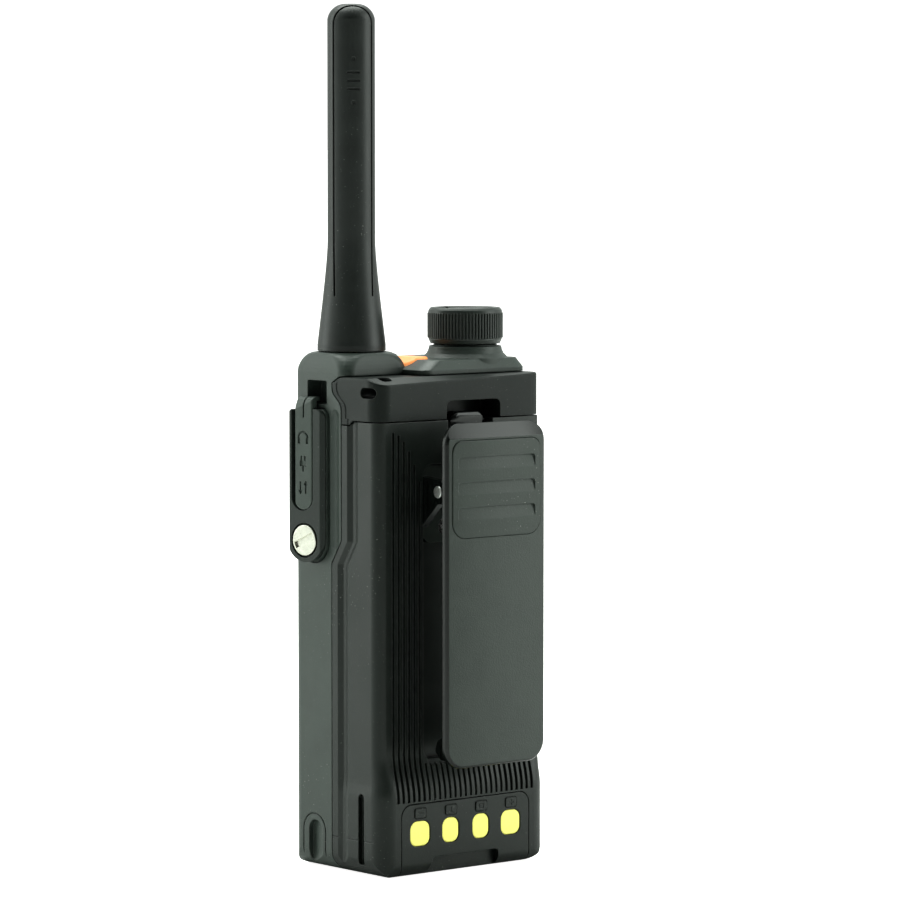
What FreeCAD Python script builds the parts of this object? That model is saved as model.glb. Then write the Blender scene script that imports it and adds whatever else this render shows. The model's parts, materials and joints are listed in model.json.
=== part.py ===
"""Portable two-way radio with a stub antenna, a clip-on battery and a sprung belt clip.

Frame: +Z up along the radio, +Y towards the battery and its belt clip, -Y towards the loudspeaker,
+X towards the accessory socket, -X towards the talk button. The origin is the middle of the foot, in
the plane that the radio stands on. Lengths are in millimetres.
"""
import FreeCAD, Part
import math
import os

V = FreeCAD.Vector
AXIS = {"x": V(1, 0, 0), "y": V(0, 1, 0), "z": V(0, 0, 1)}

# ---------------------------------------------------------------- driving dimensions
BODY_HALF_WIDTH = 27.5
BODY_FRONT = -18.0
FOOT_BACK = 18.0
FRONT_CORNER = 3.1
WALL = 2.2
GAP = 0.3                      # seam between shells that part from each other

SEAM_LOW = -1.9                # battery's front edge below the step
SEAM_HIGH = 2.0                # battery's front edge above the step
STEP_LOW, STEP_HIGH = 78.6, 84.6
BATTERY_TOP = 114.9
BATTERY_TOP_FRONT = 113.8
WAIST_HALF_WIDTH = 27.15
WAIST_BACK = 16.0
WAIST_CORNER = 2.8
FOOT_HALF_WIDTH = 27.48
FOOT_TOP = 19.5
SIDE_FLARE_TOP, BACK_FLARE_TOP = 24.5, 31.0
FOOT_CORNER = 4.5
FRONT_FOOT_ROUND = 1.4         # rounds along the bottom edges of the front and the back
FOOT_ROUND = 3.0
TALK_SIDE_ROUND = 7.5          # round under the talk-button side
SOCKET_SIDE_ROUND = 5.0        # round under the accessory side
SEAM_FOOT_ROUND = 4.5          # round at the battery's lowest front edge; the housing fills it from below
CAP_HALF_WIDTH = 27.35
CAP_BACK = 16.3
CAP_TOP = 126.0
CAP_FRONT = -1.7               # front edge of the cap at its top
CAP_TURN_LOW, CAP_TURN_HIGH = 118.9, 122.1
CAP_CORNER = 4.2

DECK_TOP = 129.7               # raised deck that carries the knob
COLLAR_TOP = 131.8             # shoulder that carries the antenna

ANTENNA_X, ANTENNA_Y = 16.8, -7.3
ANTENNA_BASE = COLLAR_TOP + GAP
ANTENNA_TOP = 220.0
ANTENNA_RADIUS = 6.05
ANTENNA_BASE_RADIUS = 8.7
PANEL_ANGLE = 57.0             # direction of the antenna's flat-edged panel, from +X towards +Y

KNOB_X, KNOB_Y = -14.9, -0.1
KNOB_RADIUS = 9.75
KNOB_BOTTOM, KNOB_RIB_TOP, KNOB_TOP = 133.3, 141.1, 142.5
KNOB_RIBS = 72
SHAFT_RADIUS = 3.0
SHAFT_CLEARANCE = 0.05

COVER_TILT = 10.0              # the accessory cover's face leans towards the back by this angle
COVER_FRONT, COVER_BACK = -15.3, -3.3
COVER_BOTTOM, COVER_TOP = 78.6, 117.6
COVER_INSIDE = 28.4
FLAP_FRONT, FLAP_BACK = -12.6, -6.8
FLAP_BOTTOM, STRAP_TOP = 92.0, 120.6
FLAP_FACE_FRONT, FLAP_FACE_BACK = 31.15, 30.2
SIGN_DEPTH = 0.4               # depth of the signs sunk in the flap
THUMB_Y, THUMB_Z = -9.8, 84.15
THUMB_RADIUS = 3.9
SLOT_RISE = 25.0               # the thumb screw's slot rises towards the back by this angle

PIN_Y, PIN_Z, PIN_RADIUS = 21.8, 97.4, 1.55
CLIP_HALF_WIDTH = 16.3
CLIP_FACE = 30.0
CLIP_BOTTOM, CLIP_TOP = 28.1, 114.9
CLIP_PLATE = 1.8
RIB_PITCH = 1.7

KEY_TOP = -18.7
SPEAKER_Z = 39.0
FRONT_KEYS = {                 # name: centre x, centre z, width, height, corner radius
    "menu_key": (0.0, 73.0, 15.0, 13.0, 4.0),
    "key_upper_left": (-16.0, 77.0, 11.0, 6.6, 2.2),
    "key_upper_right": (16.0, 77.0, 11.0, 6.6, 2.2),
    "key_lower_left": (-16.0, 68.6, 11.0, 6.6, 2.2),
    "key_lower_right": (16.0, 68.6, 11.0, 6.6, 2.2),
}
SIDE_KEYS = {                  # name: low z, high z
    "ptt_button": (55.0, 87.0),
    "side_key_upper": (91.0, 100.0),
    "side_key_lower": (42.0, 51.0),
}
SIDE_KEY_Y = (-13.5, -5.3)
BOSS_X, BOSS_LOW_Z, BOSS_HIGH_Z = 21.2, 9.0, 108.0
BUTTON_X, BUTTON_Y, BUTTON_TOP = (-0.6, 7.2), (-6.6, 3.4), 130.3

LATCH_X = (-10.6, 4.2)
HOOK_X = (-8.2, 2.6)
HOOK_Y = (6.0, 7.3)
NOTCH_FLOOR = 8.7              # the cap's notch for the latch is cut in to here
CONTACT_X = (-15.0, -5.0, 5.0, 15.0)
CONTACT_Z = 10.75
PANEL_HALF, PANEL_TOP = 21.0, 18.2


# ---------------------------------------------------------------- helpers
def box(x0, x1, y0, y1, z0, z1):
    """Box between two corners."""
    return Part.makeBox(x1 - x0, y1 - y0, z1 - z0, V(x0, y0, z0))


def rod(axis, radius, start, length):
    """Cylinder of this radius from a start point along an axis letter or a direction."""
    direction = AXIS[axis] if isinstance(axis, str) else axis
    return Part.makeCylinder(radius, length, V(*start), direction)


def rounded_wire(corners, place):
    """Closed wire through corners (u, v, radius), each rounded by an arc; place maps (u, v) to 3-D."""
    edges = []
    previous_end = None
    first_start = None
    count = len(corners)
    for i in range(count):
        u, v, radius = corners[i]
        here = V(u, v, 0)
        back = V(corners[i - 1][0], corners[i - 1][1], 0) - here
        ahead = V(corners[(i + 1) % count][0], corners[(i + 1) % count][1], 0) - here
        back.normalize()
        ahead.normalize()
        turn = math.acos(max(-1.0, min(1.0, back.dot(ahead))))
        if radius > 0:
            reach = radius / math.tan(turn / 2)
            start = here + back * reach
            end = here + ahead * reach
            bisector = back + ahead
            bisector.normalize()
            middle = here + bisector * (radius / math.sin(turn / 2) - radius)
            arc = Part.Arc(place(start.x, start.y), place(middle.x, middle.y), place(end.x, end.y)).toShape()
        else:
            start, end, arc = here, here, None
        if previous_end is not None and (start - previous_end).Length > 1e-6:
            edges.append(Part.makeLine(place(previous_end.x, previous_end.y), place(start.x, start.y)))
        if arc is not None:
            edges.append(arc)
        if first_start is None:
            first_start = start
        previous_end = end
    if (first_start - previous_end).Length > 1e-6:
        edges.append(Part.makeLine(place(previous_end.x, previous_end.y), place(first_start.x, first_start.y)))
    return Part.Wire(edges)


def prism(plane, corners, low, high):
    """Solid between low and high along the axis that the plane leaves out."""
    places = {
        "xy": (lambda u, v: V(u, v, low), V(0, 0, high - low)),
        "yz": (lambda u, v: V(low, u, v), V(high - low, 0, 0)),
        "xz": (lambda u, v: V(u, low, v), V(0, high - low, 0)),
    }
    place, travel = places[plane]
    full = [(c[0], c[1], c[2] if len(c) > 2 else 0.0) for c in corners]
    return Part.Face(rounded_wire(full, place)).extrude(travel)


def rectangle(u0, u1, v0, v1, radii):
    """Corners of a rectangle for prism(); radii is one number or four, from (u0, v0) anticlockwise."""
    if not isinstance(radii, (tuple, list)):
        radii = [radii] * 4
    return [(u0, v0, radii[0]), (u1, v0, radii[1]), (u1, v1, radii[2]), (u0, v1, radii[3])]


def lathe(profile, x, y):
    """Solid of revolution about a vertical axis through (x, y); profile is (radius, z) or arcs' points."""
    points = [V(r, 0, z) for r, z in profile]
    wire = Part.makePolygon(points + [points[0]])
    solid = Part.Face(wire).revolve(V(0, 0, 0), V(0, 0, 1), 360)
    solid.translate(V(x, y, 0))
    return solid


def lathe_y(profile, x, z):
    """Solid of revolution about an axis along Y through (x, z); profile is (radius, y)."""
    points = [V(r, y, 0) for r, y in profile]
    wire = Part.makePolygon(points + [points[0]])
    solid = Part.Face(wire).revolve(V(0, 0, 0), V(0, 1, 0), 360)
    solid.translate(V(x, 0, z))
    return solid


def rounded_bottom(half_width, low, talk_side, socket_side):
    """Tall block with its two bottom edges rounded, to trim shells that follow the foot's outline."""
    return prism("xz", rectangle(-half_width, half_width, low, 140, (talk_side, socket_side, 0, 0)), -30, 30)


def fuse(*shapes):
    """One solid from touching or overlapping shapes."""
    whole = shapes[0].multiFuse(list(shapes[1:])).removeSplitter()
    return whole.Solids[0] if len(whole.Solids) == 1 else whole


def cut(shape, *tools):
    """The shape without the tools; a single solid stays a plain solid."""
    left = shape.cut(list(tools))
    return left.Solids[0] if len(left.Solids) == 1 else left


def fillet(shape, radius, wanted):
    """Round the edges that wanted(edge) picks, or leave them sharp where a round can't be built."""
    edges = [edge for edge in shape.Edges if wanted(edge)]
    try:
        rounded = shape.makeFillet(radius, edges)
        if rounded.isValid() and len(rounded.Solids) == 1:
            return rounded.Solids[0]
    except Part.OCCError:
        pass
    print("edge left sharp, radius", radius, "edges", len(edges))
    return shape


def along_z(edge, z, tolerance=0.01):
    """True for an edge that lies in the plane Z = z."""
    limits = edge.BoundBox
    return abs(limits.ZMin - z) < tolerance and abs(limits.ZMax - z) < tolerance


def along_y(edge, y, tolerance=0.01):
    """True for an edge that lies in the plane Y = y."""
    limits = edge.BoundBox
    return abs(limits.YMin - y) < tolerance and abs(limits.YMax - y) < tolerance


def along_x(edge, x, tolerance=0.01):
    """True for an edge that lies in the plane X = x."""
    limits = edge.BoundBox
    return abs(limits.XMin - x) < tolerance and abs(limits.XMax - x) < tolerance


# ---------------------------------------------------------------- radio casing
def housing_front_region():
    """Everything in front of the seam, as a prism wider than the body; its foot hooks under the battery."""
    low, high = SEAM_LOW - GAP, SEAM_HIGH - GAP
    return prism("yz", [(-30, -1), (3.0, -1), (3.0, -GAP), (low, -GAP, SEAM_FOOT_ROUND + GAP),
                        (low, STEP_LOW + 0.15), (high, STEP_HIGH + 0.15),
                        (high, CAP_TURN_LOW - 0.1, 3.0), (CAP_FRONT - GAP, CAP_TURN_HIGH - 0.15, 3.0),
                        (CAP_FRONT - GAP, 124.5), (1.0, 126.2), (1.0, 140), (-30, 140)], -40, 40)


def antenna_shoulder():
    """Shoulder that rounds over from the body's rounded square to the round foot of the antenna."""
    half_width, straight_top, inset, steps = 10.7, 126.8, 0.16, 7
    levels = [(120.0, 1.0, 1.0)]
    for i in range(steps + 1):
        turn = math.radians(90.0) * i / steps
        levels.append((straight_top + (COLLAR_TOP - straight_top) * math.sin(turn),
                       1 - inset * (1 - math.cos(turn)) ** 0.8, math.cos(turn) ** 0.8 if i < steps else 0.0))
    sections = []
    for z, grow, square in levels:
        half = half_width * grow
        radius = FRONT_CORNER * square + (half - 0.01) * (1 - square)
        corners = rectangle(ANTENNA_X - half, ANTENNA_X + half, ANTENNA_Y - half, ANTENNA_Y + half, radius)
        sections.append(rounded_wire(corners, lambda u, v, z=z: V(u, v, z)))
    return Part.makeLoft(sections, True, True)


def knob_deck():
    """Raised deck under the knob, with a sloped rim and a longer slope towards the antenna."""
    rim = rectangle(-26.8, 8.6, BODY_FRONT, 11.4, (3, 1, 3, 4))
    top = rectangle(-25.0, 4.2, BODY_FRONT + 1.8, 10.0, (2, 1, 3, 3))
    foot = Part.makeLoft([rounded_wire(rim, lambda u, v: V(u, v, 122.0)),
                          rounded_wire(rim, lambda u, v: V(u, v, 127.3))], True, True)
    slope = Part.makeLoft([rounded_wire(rim, lambda u, v: V(u, v, 127.3)),
                           rounded_wire(top, lambda u, v: V(u, v, DECK_TOP))], True, True)
    return fuse(foot, slope)


def grille_slots():
    """Rows of rounded slots over the loudspeaker, longest in the middle."""
    slots = []
    rows = 9
    for row in range(rows):
        offset = row - (rows - 1) / 2
        z = SPEAKER_Z + offset * 3.4
        half = math.sqrt(18.0 ** 2 - (offset * 3.4) ** 2) * 0.92
        slots.append(prism("xz", rectangle(-half, half, z - 0.8, z + 0.8, 0.79), BODY_FRONT - 1, BODY_FRONT + 3))
    return slots


def key_outline(name, grow):
    """Outline of a front key, grown by this much."""
    x, z, width, height, radius = FRONT_KEYS[name]
    return rectangle(x - width / 2 - grow, x + width / 2 + grow, z - height / 2 - grow, z + height / 2 + grow,
                     radius + grow)


def side_key_outline(name, grow):
    """Outline of a side key in the YZ plane, grown by this much."""
    low, high = SIDE_KEYS[name]
    return rectangle(SIDE_KEY_Y[0] - grow, SIDE_KEY_Y[1] + grow, low - grow, high + grow, 2.6 + grow)


def boss_places():
    """Centres (x, z) of the four screws that hold the chassis in the front housing."""
    return [(side * BOSS_X, z) for side in (-1, 1) for z in (BOSS_LOW_Z, BOSS_HIGH_Z)]


def thumb_direction():
    """Outward direction of the thumb screw, square to the cover's leaning face."""
    angle = math.radians(COVER_TILT)
    return V(math.cos(angle), math.sin(angle), 0)


def thumb_point(depth):
    """Point on the thumb screw's axis, this far out from the cover's inner face."""
    return V(COVER_INSIDE, THUMB_Y, THUMB_Z) + thumb_direction() * depth


def front_housing():
    """Front shell with speaker slots, key and display openings, knob deck and antenna shoulder."""
    width = BODY_HALF_WIDTH
    outer = prism("xy", rectangle(-width, width, BODY_FRONT, 6.0, (FRONT_CORNER, FRONT_CORNER, 0, 0)), 0, CAP_TOP)
    front_edge = prism("yz", rectangle(BODY_FRONT, 10, 0, 140, (FRONT_FOOT_ROUND, 0, 0, 0)), -40, 40)
    outer = outer.common(rounded_bottom(width, 0, TALK_SIDE_ROUND, SOCKET_SIDE_ROUND)).common(front_edge)
    outer = outer.common(housing_front_region())
    pedestal = prism("yz", cover_outline(0), 20.0, COVER_INSIDE - 0.2)
    upper = fuse(antenna_shoulder(), knob_deck())
    above_cap = prism("yz", [(-30, 100), (-2.0, 100), (-2.0, 124.5), (1.0, 126.2), (20, 126.2), (20, 140),
                             (-30, 140)], -40, 40)
    upper = upper.common(above_cap)
    knob_collar = lathe([(0, 127.0), (11.0, 127.0), (11.0, DECK_TOP), (10.6, 130.1), (9.9, 130.8), (9.5, 131.7),
                         (9.3, 132.6), (8.2, 132.7), (8.2, 133.0), (0, 133.0)], KNOB_X, KNOB_Y)
    thumb_guard = prism("yz", [(-14.5, 127), (-9.0, 127), (-9.6, 130.6), (-13.4, 130.6)], 0.2, 3.8)
    slot_block = box(21.5, 26.0, -13.4, -2.4, 117.5, 125.0)
    inner = prism("xy", rectangle(-25.3, 25.3, -16.0, 7.0, (2.4, 2.4, 0, 0)), WALL, 124.0)
    inner = inner.common(rounded_bottom(25.3, WALL, TALK_SIDE_ROUND - 2.0, SOCKET_SIDE_ROUND - 2.0))
    deck_space = box(-22.5, 3.2, -15.0, 8.0, 123.0, 127.4)
    shell = cut(fuse(outer, pedestal, upper, knob_collar), inner, deck_space)
    bosses = [rod("y", 2.3, (x, -16.5, z), 11.5) for x, z in boss_places()]
    insert_seat = cut(rod(thumb_direction() * -1, 3.6, tuple(thumb_point(-0.4)), 5.2),
                      box(27.9, 40, -30, 10, 60, 100))
    shell = fuse(shell, slot_block.common(housing_front_region()), insert_seat, thumb_guard, *bosses)

    cuts = grille_slots()
    cuts.append(prism("xz", rectangle(-18.7, 18.7, 88.3, 114.7, 3.2), BODY_FRONT - 1, -16.75))
    cuts.append(prism("xz", rectangle(-16.5, 16.5, 90.5, 112.5, 1.5), BODY_FRONT - 1, -15))
    cuts.append(prism("xz", rectangle(-4.2, 4.2, 118.4, 120.8, 1.1), BODY_FRONT - 1, -15))
    cuts.append(rod("y", 0.6, (14.0, BODY_FRONT - 1, 14.0), 4))
    for name in FRONT_KEYS:
        cuts.append(prism("xz", key_outline(name, GAP), BODY_FRONT - 1, -15))
    for name in SIDE_KEYS:
        cuts.append(prism("yz", side_key_outline(name, GAP), -30, -24.5))
    cuts.append(prism("yz", rectangle(-11.8, -4.0, 118.8, 124.8, 0.4), 23.0, 40))
    cuts.append(prism("yz", rectangle(-14.2, -5.8, 91.8, 112.2, 1.5), 20.0, 40))
    cuts.append(rod(thumb_direction() * -1, 2.6, tuple(thumb_point(3.0)), 9.5))
    cuts.append(rod("z", 3.25, (ANTENNA_X, ANTENNA_Y, 118), 20))
    cuts.append(rod("z", SHAFT_RADIUS + SHAFT_CLEARANCE, (KNOB_X, KNOB_Y, 118), 20))
    cuts.append(prism("xy", rectangle(BUTTON_X[0] - GAP, BUTTON_X[1] + GAP, BUTTON_Y[0] - GAP, BUTTON_Y[1] + GAP,
                                      2.2 + GAP), 126.8, 140))
    for x, z in boss_places():
        cuts.append(rod("y", 1.1, (x, -15.0, z), 12))
    seat = cover_outline(0.4)
    cuts.append(prism("yz", seat, BODY_HALF_WIDTH - 0.8, 40).cut(prism("yz", cover_outline(0), 20, 41)))
    cuts.append(seam_valley())
    cuts.extend(foot_grooves())
    return cut(shell, *cuts)


def seam_valley():
    """Shallow hollow that runs up the side between the accessory cover and the seam."""
    radius, depth, y, low, high = 3.2, 0.5, -0.75, 84.0, 116.0
    x = BODY_HALF_WIDTH + radius - depth
    groove = rod("z", radius, (x, y, low), high - low)
    ends = [Part.makeSphere(radius, V(x, y, z)) for z in (low, high)]
    return fuse(groove, *ends)


def foot_grooves():
    """Charger guide at the foot of the accessory side: a hairline arch around a recessed channel."""
    x_in = BODY_HALF_WIDTH
    arch = prism("yz", rectangle(-14.0, -4.6, -2.0, 14.2, (0, 0, 4.6, 4.6)), x_in - 0.35, x_in + 1)
    keep = prism("yz", rectangle(-13.6, -5.0, -3.0, 13.8, (0, 0, 4.2, 4.2)), x_in - 1, x_in + 2)
    channel = prism("yz", rectangle(-11.6, -6.2, -2.0, 12.4, (0, 0, 2.6, 2.6)), x_in - 1.4, x_in + 1)
    ramp = prism("xy", [(x_in - 1.6, -11.2), (x_in + 0.05, -5.4), (x_in - 3, -5.4), (x_in - 3, -11.2)], -3, 14)
    return [arch.cut(keep), channel.cut(ramp)]


def plane_tool(a, b, c):
    """Thick slab above the plane through three points."""
    normal = (b - a).cross(c - a)
    if normal.z < 0:
        normal = normal * -1
    slab = Part.makeBox(200, 200, 20, V(-100, -100, 0))
    slab.Placement = FreeCAD.Placement(a, FreeCAD.Rotation(V(0, 0, 1), normal))
    return slab


def cap_outline(inset):
    """Side outline of the cap; inset moves its front and lower edges inwards."""
    step_front, step_back = 4.9, 6.2
    return [(SEAM_HIGH + 0.05 + inset, BATTERY_TOP_FRONT + GAP + inset), (step_front, BATTERY_TOP_FRONT + GAP + inset),
            (step_back, BATTERY_TOP + GAP + inset), (20.0, BATTERY_TOP + GAP + inset), (20.0, CAP_TOP + 2),
            (CAP_FRONT + 3.1 + inset, CAP_TOP + 2), (CAP_FRONT + 3.1 + inset, CAP_TOP), (CAP_FRONT + inset, 124.4),
            (CAP_FRONT + inset, CAP_TURN_HIGH, 3.0), (SEAM_HIGH + 0.05 + inset, CAP_TURN_LOW, 3.0)]


def rear_cap():
    """Top rear cap with the latch notch and the lanyard hole; it closes the shell above the battery."""
    width = CAP_HALF_WIDTH
    corners = rectangle(-width, width, -8, CAP_BACK, (0, 0, CAP_CORNER, CAP_CORNER))
    blank = prism("xy", corners, 110, CAP_TOP)
    blank = cut(blank, plane_tool(V(27, 11.8, CAP_TOP), V(-27, 15.8, CAP_TOP), V(27, CAP_BACK, 124.3)))
    blank = fillet(blank, 0.5, lambda e: e.BoundBox.ZMin > 124.0 and e.BoundBox.YMax > -7.9)
    cap = blank.common(prism("yz", cap_outline(0), -40, 40))
    lip_width = 1.5
    for side in (-1, 1):
        x0, x1 = sorted((side * (width - 1.0), side * BODY_HALF_WIDTH))
        slab = prism("yz", cap_outline(0), x0, x1)
        x2, x3 = sorted((side * (width - 2.0), side * (width + 2)))
        inside = prism("yz", cap_outline(lip_width), x2, x3)
        lip = cut(slab, inside, box(-40, 40, 4.4, 40, 100, 140), box(-40, 40, -10, 40, 124.6, 140))
        cap = fuse(cap, lip)
    hollow = prism("yz", [(-4, 117.0), (5.0, 117.0), (5.0, 124.3), (-4, 124.3)], -25.0, 18.0)
    opening = box(-22.5, 3.2, -3.0, 8.0, 123, 130)
    notch = prism("xz", rectangle(-12.8, 4.9, 110, 119.8, (0, 0, 1.6, 1.6)), NOTCH_FLOOR, 20)
    catch = box(HOOK_X[0] - GAP, HOOK_X[1] + GAP, HOOK_Y[0] - GAP, HOOK_Y[1] + GAP, 110, 117.6)
    lanyard_side = prism("yz", rectangle(9.5, 14.7, 121.0, 123.7, 1.3), 20.5, 40)
    lanyard_up = prism("xy", rectangle(20.5, 24.0, 10.0, 14.2, 1.2), 121.0, 140)
    return cut(cap, hollow, opening, notch, catch, lanyard_side, lanyard_up)


def chassis_band(outer_shift, thickness, low, high):
    """Side outline of a sheet that follows the seam step, from low to high."""
    y0 = SEAM_LOW - GAP - outer_shift
    y1 = SEAM_HIGH - GAP - outer_shift
    return [(y0 - thickness, low), (y0, low), (y0, STEP_LOW), (y1, STEP_HIGH), (y1, high), (y1 - thickness, high),
            (y1 - thickness, STEP_HIGH + 1), (y0 - thickness, STEP_LOW + 1)]


def rear_chassis():
    """Cast frame that closes the front housing behind the electronics."""
    plate = prism("yz", chassis_band(0.3, 1.8, 3.2, 113.0), -24.3, 24.3)
    plate = plate.common(rounded_bottom(24.3, 3.2, TALK_SIDE_ROUND - 2.8, SOCKET_SIDE_ROUND - 2.8))
    heads = [rod("y", 2.4, (x, -3.6, z), 8) for x, z in boss_places()]
    upper_heads = [rod("y", 2.4, (x, 0.2, z), 4) for x, z in boss_places() if z > 50]
    shanks = [rod("y", 1.3, (x, -8, z), 12) for x, z in boss_places()]
    window = box(-11, 11, -6, 0, 29.0, 37.0)
    tools = [h for h, (x, z) in zip(heads, boss_places()) if z < 50] + upper_heads + shanks + [window]
    ribs = [box(-17.0, 17.0, -4.9, -4.2, z, z + 1.2) for z in (14.0, 22.0, 70.0)]
    return cut(fuse(plate, *ribs), *tools)


def housing_gasket():
    """Rubber ring that seals the chassis in the mouth of the front housing."""
    ring = prism("yz", chassis_band(0.6, 1.0, 2.4, 113.6), -25.2, 25.2)
    ring = ring.common(rounded_bottom(25.2, 2.4, TALK_SIDE_ROUND - 2.0, SOCKET_SIDE_ROUND - 2.0))
    middle = prism("yz", chassis_band(-3.0, 8.0, 3.1, 113.1), -24.4, 24.4)
    middle = middle.common(rounded_bottom(24.4, 3.1, TALK_SIDE_ROUND - 2.9, SOCKET_SIDE_ROUND - 2.9))
    return cut(ring, middle)


def chassis_screws():
    """Four countersunk screws through the chassis into the housing bosses."""
    screws = []
    for x, z in boss_places():
        head_y = -3.6 if z < 50 else 0.2
        head = rod("y", 2.2, (x, head_y, z), 0.95)
        drive = rod("y", 0.9, (x, head_y + 0.5, z), 2)
        shank = rod("y", 1.05, (x, -14.0, z), head_y + 14.0)
        screws.append(cut(fuse(head, shank), drive))
    return Part.makeCompound(screws)


# ---------------------------------------------------------------- radio inside
def display_window():
    """Clear window over the display."""
    pane = prism("xz", rectangle(-18.5, 18.5, 88.5, 114.5, 3.0), -17.95, -16.8)
    return fillet(pane, 0.4, lambda e: along_y(e, -17.95))


def display_module():
    """Liquid-crystal display in its frame, behind the window."""
    frame = box(-18.2, 18.2, -15.8, -13.0, 87.5, 115.0)
    glass = box(-15.8, 15.8, -16.5, -15.7, 91.2, 111.8)
    return fuse(frame, glass)


def status_lens():
    """Light guide of the status lamp, above the display."""
    face = prism("xz", rectangle(-4.0, 4.0, 118.6, 120.6, 0.95), -18.15, -15.9)
    flange = prism("xz", rectangle(-4.8, 4.8, 117.8, 121.4, 1.2), -15.9, -14.8)
    return fuse(face, flange)


def front_key(name):
    """Front key: crowned face that passes through the housing, on a wider flange."""
    face = prism("xz", key_outline(name, 0), KEY_TOP, -15.8)
    face = fillet(face, 0.6, lambda e: along_y(e, KEY_TOP))
    flange = prism("xz", key_outline(name, 0.9), -15.8, -15.0)
    return fuse(face, flange)


def menu_key():
    """Central key with a ring groove and four direction bars."""
    key = front_key("menu_key")
    x, z = FRONT_KEYS["menu_key"][:2]
    ring = cut(rod("y", 3.5, (x, KEY_TOP - 1, z), 1.35), rod("y", 3.1, (x, KEY_TOP - 1, z), 1.35))
    bars = [box(x - 1.2, x + 1.2, KEY_TOP - 1, KEY_TOP + 0.2, z + s * 5.0 - 0.3, z + s * 5.0 + 0.3) for s in (-1, 1)]
    posts = [box(x + s * 5.6 - 0.3, x + s * 5.6 + 0.3, KEY_TOP - 1, KEY_TOP + 0.2, z - 1.2, z + 1.2)
             for s in (-1, 1)]
    return cut(key, ring, *bars, *posts)


def key_membrane():
    """Rubber mat with a dome behind each front key."""
    mat = box(-20.2, 20.2, -14.1, -13.6, 62.5, 83.0)
    domes = []
    for x, z, width, height, radius in FRONT_KEYS.values():
        domes.append(rod("y", 1.6, (x, -14.4, z), 0.4))
    return fuse(mat, *domes)


def keypad_board():
    """Circuit board under the key mat."""
    return box(-20.2, 20.2, -13.5, -12.5, 62.0, 83.5)


def main_board():
    """Main circuit board with its larger parts."""
    board = box(-17.8, 17.8, -8.3, -7.1, 6.0, 110.0)
    chips = [box(-14, -4, -7.1, -6.0, 12, 22), box(2, 14, -7.1, -5.9, 14, 26), box(-15, -7, -7.1, -5.6, 92, 104),
             box(0, 12, -7.1, -6.1, 94, 104), box(-8, 8, -9.6, -8.3, 64, 80)]
    return fuse(board, *chips)


def shield_can():
    """Sheet-metal screen over the radio-frequency stage."""
    can = box(-14, 15, -7.1, -5.1, 38, 66)
    can = fillet(can, 0.6, lambda e: along_y(e, -5.1))
    return cut(can, box(-13.6, 14.6, -7.2, -5.5, 38.4, 65.6))


def speaker_frame():
    """Loudspeaker basket and magnet."""
    return lathe_y([(0, -9.3), (9.5, -9.3), (9.5, -11.8), (17.2, -13.6), (18.0, -13.6), (18.0, -15.6),
                    (16.8, -15.6), (16.8, -14.4), (8.0, -12.4), (0, -12.4)], 0, SPEAKER_Z)


def speaker_cone():
    """Loudspeaker diaphragm with a domed centre."""
    return lathe_y([(0, -14.0), (5.0, -13.6), (8.0, -12.8), (16.4, -14.9), (16.4, -15.3), (8.2, -13.3),
                    (5.2, -14.1), (0, -14.5)], 0, SPEAKER_Z)


def speaker_mesh():
    """Dust cloth behind the slots."""
    return rod("y", 19.0, (0, -15.95, SPEAKER_Z), 0.25)


def microphone():
    """Microphone capsule behind its hole."""
    capsule = rod("y", 3.0, (14.0, -15.9, 14.0), 2.2)
    return fillet(capsule, 0.3, lambda e: along_y(e, -13.7))


def side_switch_board():
    """Board that carries the switches of the side keys."""
    return box(-21.6, -20.8, -13.4, -5.6, 41.0, 101.0)


def side_switches():
    """Four small press switches behind the side keys."""
    switches = []
    for z in (46.5, 63.0, 79.0, 95.5):
        base = box(-22.9, -21.6, -12.2, -8.2, z - 2, z + 2)
        switches.append(fuse(base, rod(V(-1, 0, 0), 1.0, (-22.9, -10.2, z), 0.5)))
    return Part.makeCompound(switches)


def side_key(name):
    """Side key: raised face with grip ribs on a wider flange."""
    low, high = SIDE_KEYS[name]
    face_x = -BODY_HALF_WIDTH - 1.0
    face = prism("yz", side_key_outline(name, 0), face_x, -25.1)
    face = fillet(face, 0.7, lambda e: along_x(e, face_x))
    flange = prism("yz", side_key_outline(name, 0.8), -25.1, -24.4)
    count = 5 if high - low > 20 else 2
    step = 3.0
    middle = (low + high) / 2
    grooves = []
    for i in range(count):
        z = middle + (i - (count - 1) / 2) * step
        grooves.append(prism("yz", rectangle(SIDE_KEY_Y[0] + 2.2, SIDE_KEY_Y[1] - 2.2, z - 0.5, z + 0.5, 0.45),
                             face_x - 1, face_x + 0.4))
    return cut(fuse(face, flange), *grooves)


def accessory_connector():
    """Socket block under the cover."""
    block = prism("yz", rectangle(-14.0, -6.0, 92.0, 112.0, 1.3), 24.0, 28.1)
    wells = [box(27.5, 29, -12.6 + column * 3.2, -10.6 + column * 3.2, 94.5 + row * 4.2, 96.8 + row * 4.2)
             for column in range(2) for row in range(4)]
    return cut(block, *wells)


def accessory_contacts():
    """Eight contact pads in the socket."""
    pads = [box(27.5, 27.8, -12.5 + column * 3.2, -10.7 + column * 3.2, 94.6 + row * 4.2, 96.7 + row * 4.2)
            for column in range(2) for row in range(4)]
    return Part.makeCompound(pads)


def screw_insert():
    """Threaded brass insert that takes the thumb screw."""
    out = thumb_direction()
    sleeve = rod(out * -1, 2.58, tuple(thumb_point(-0.55)), 4.6)
    return cut(sleeve, rod(out * -1, 2.1, tuple(thumb_point(1.0)), 8))


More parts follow.
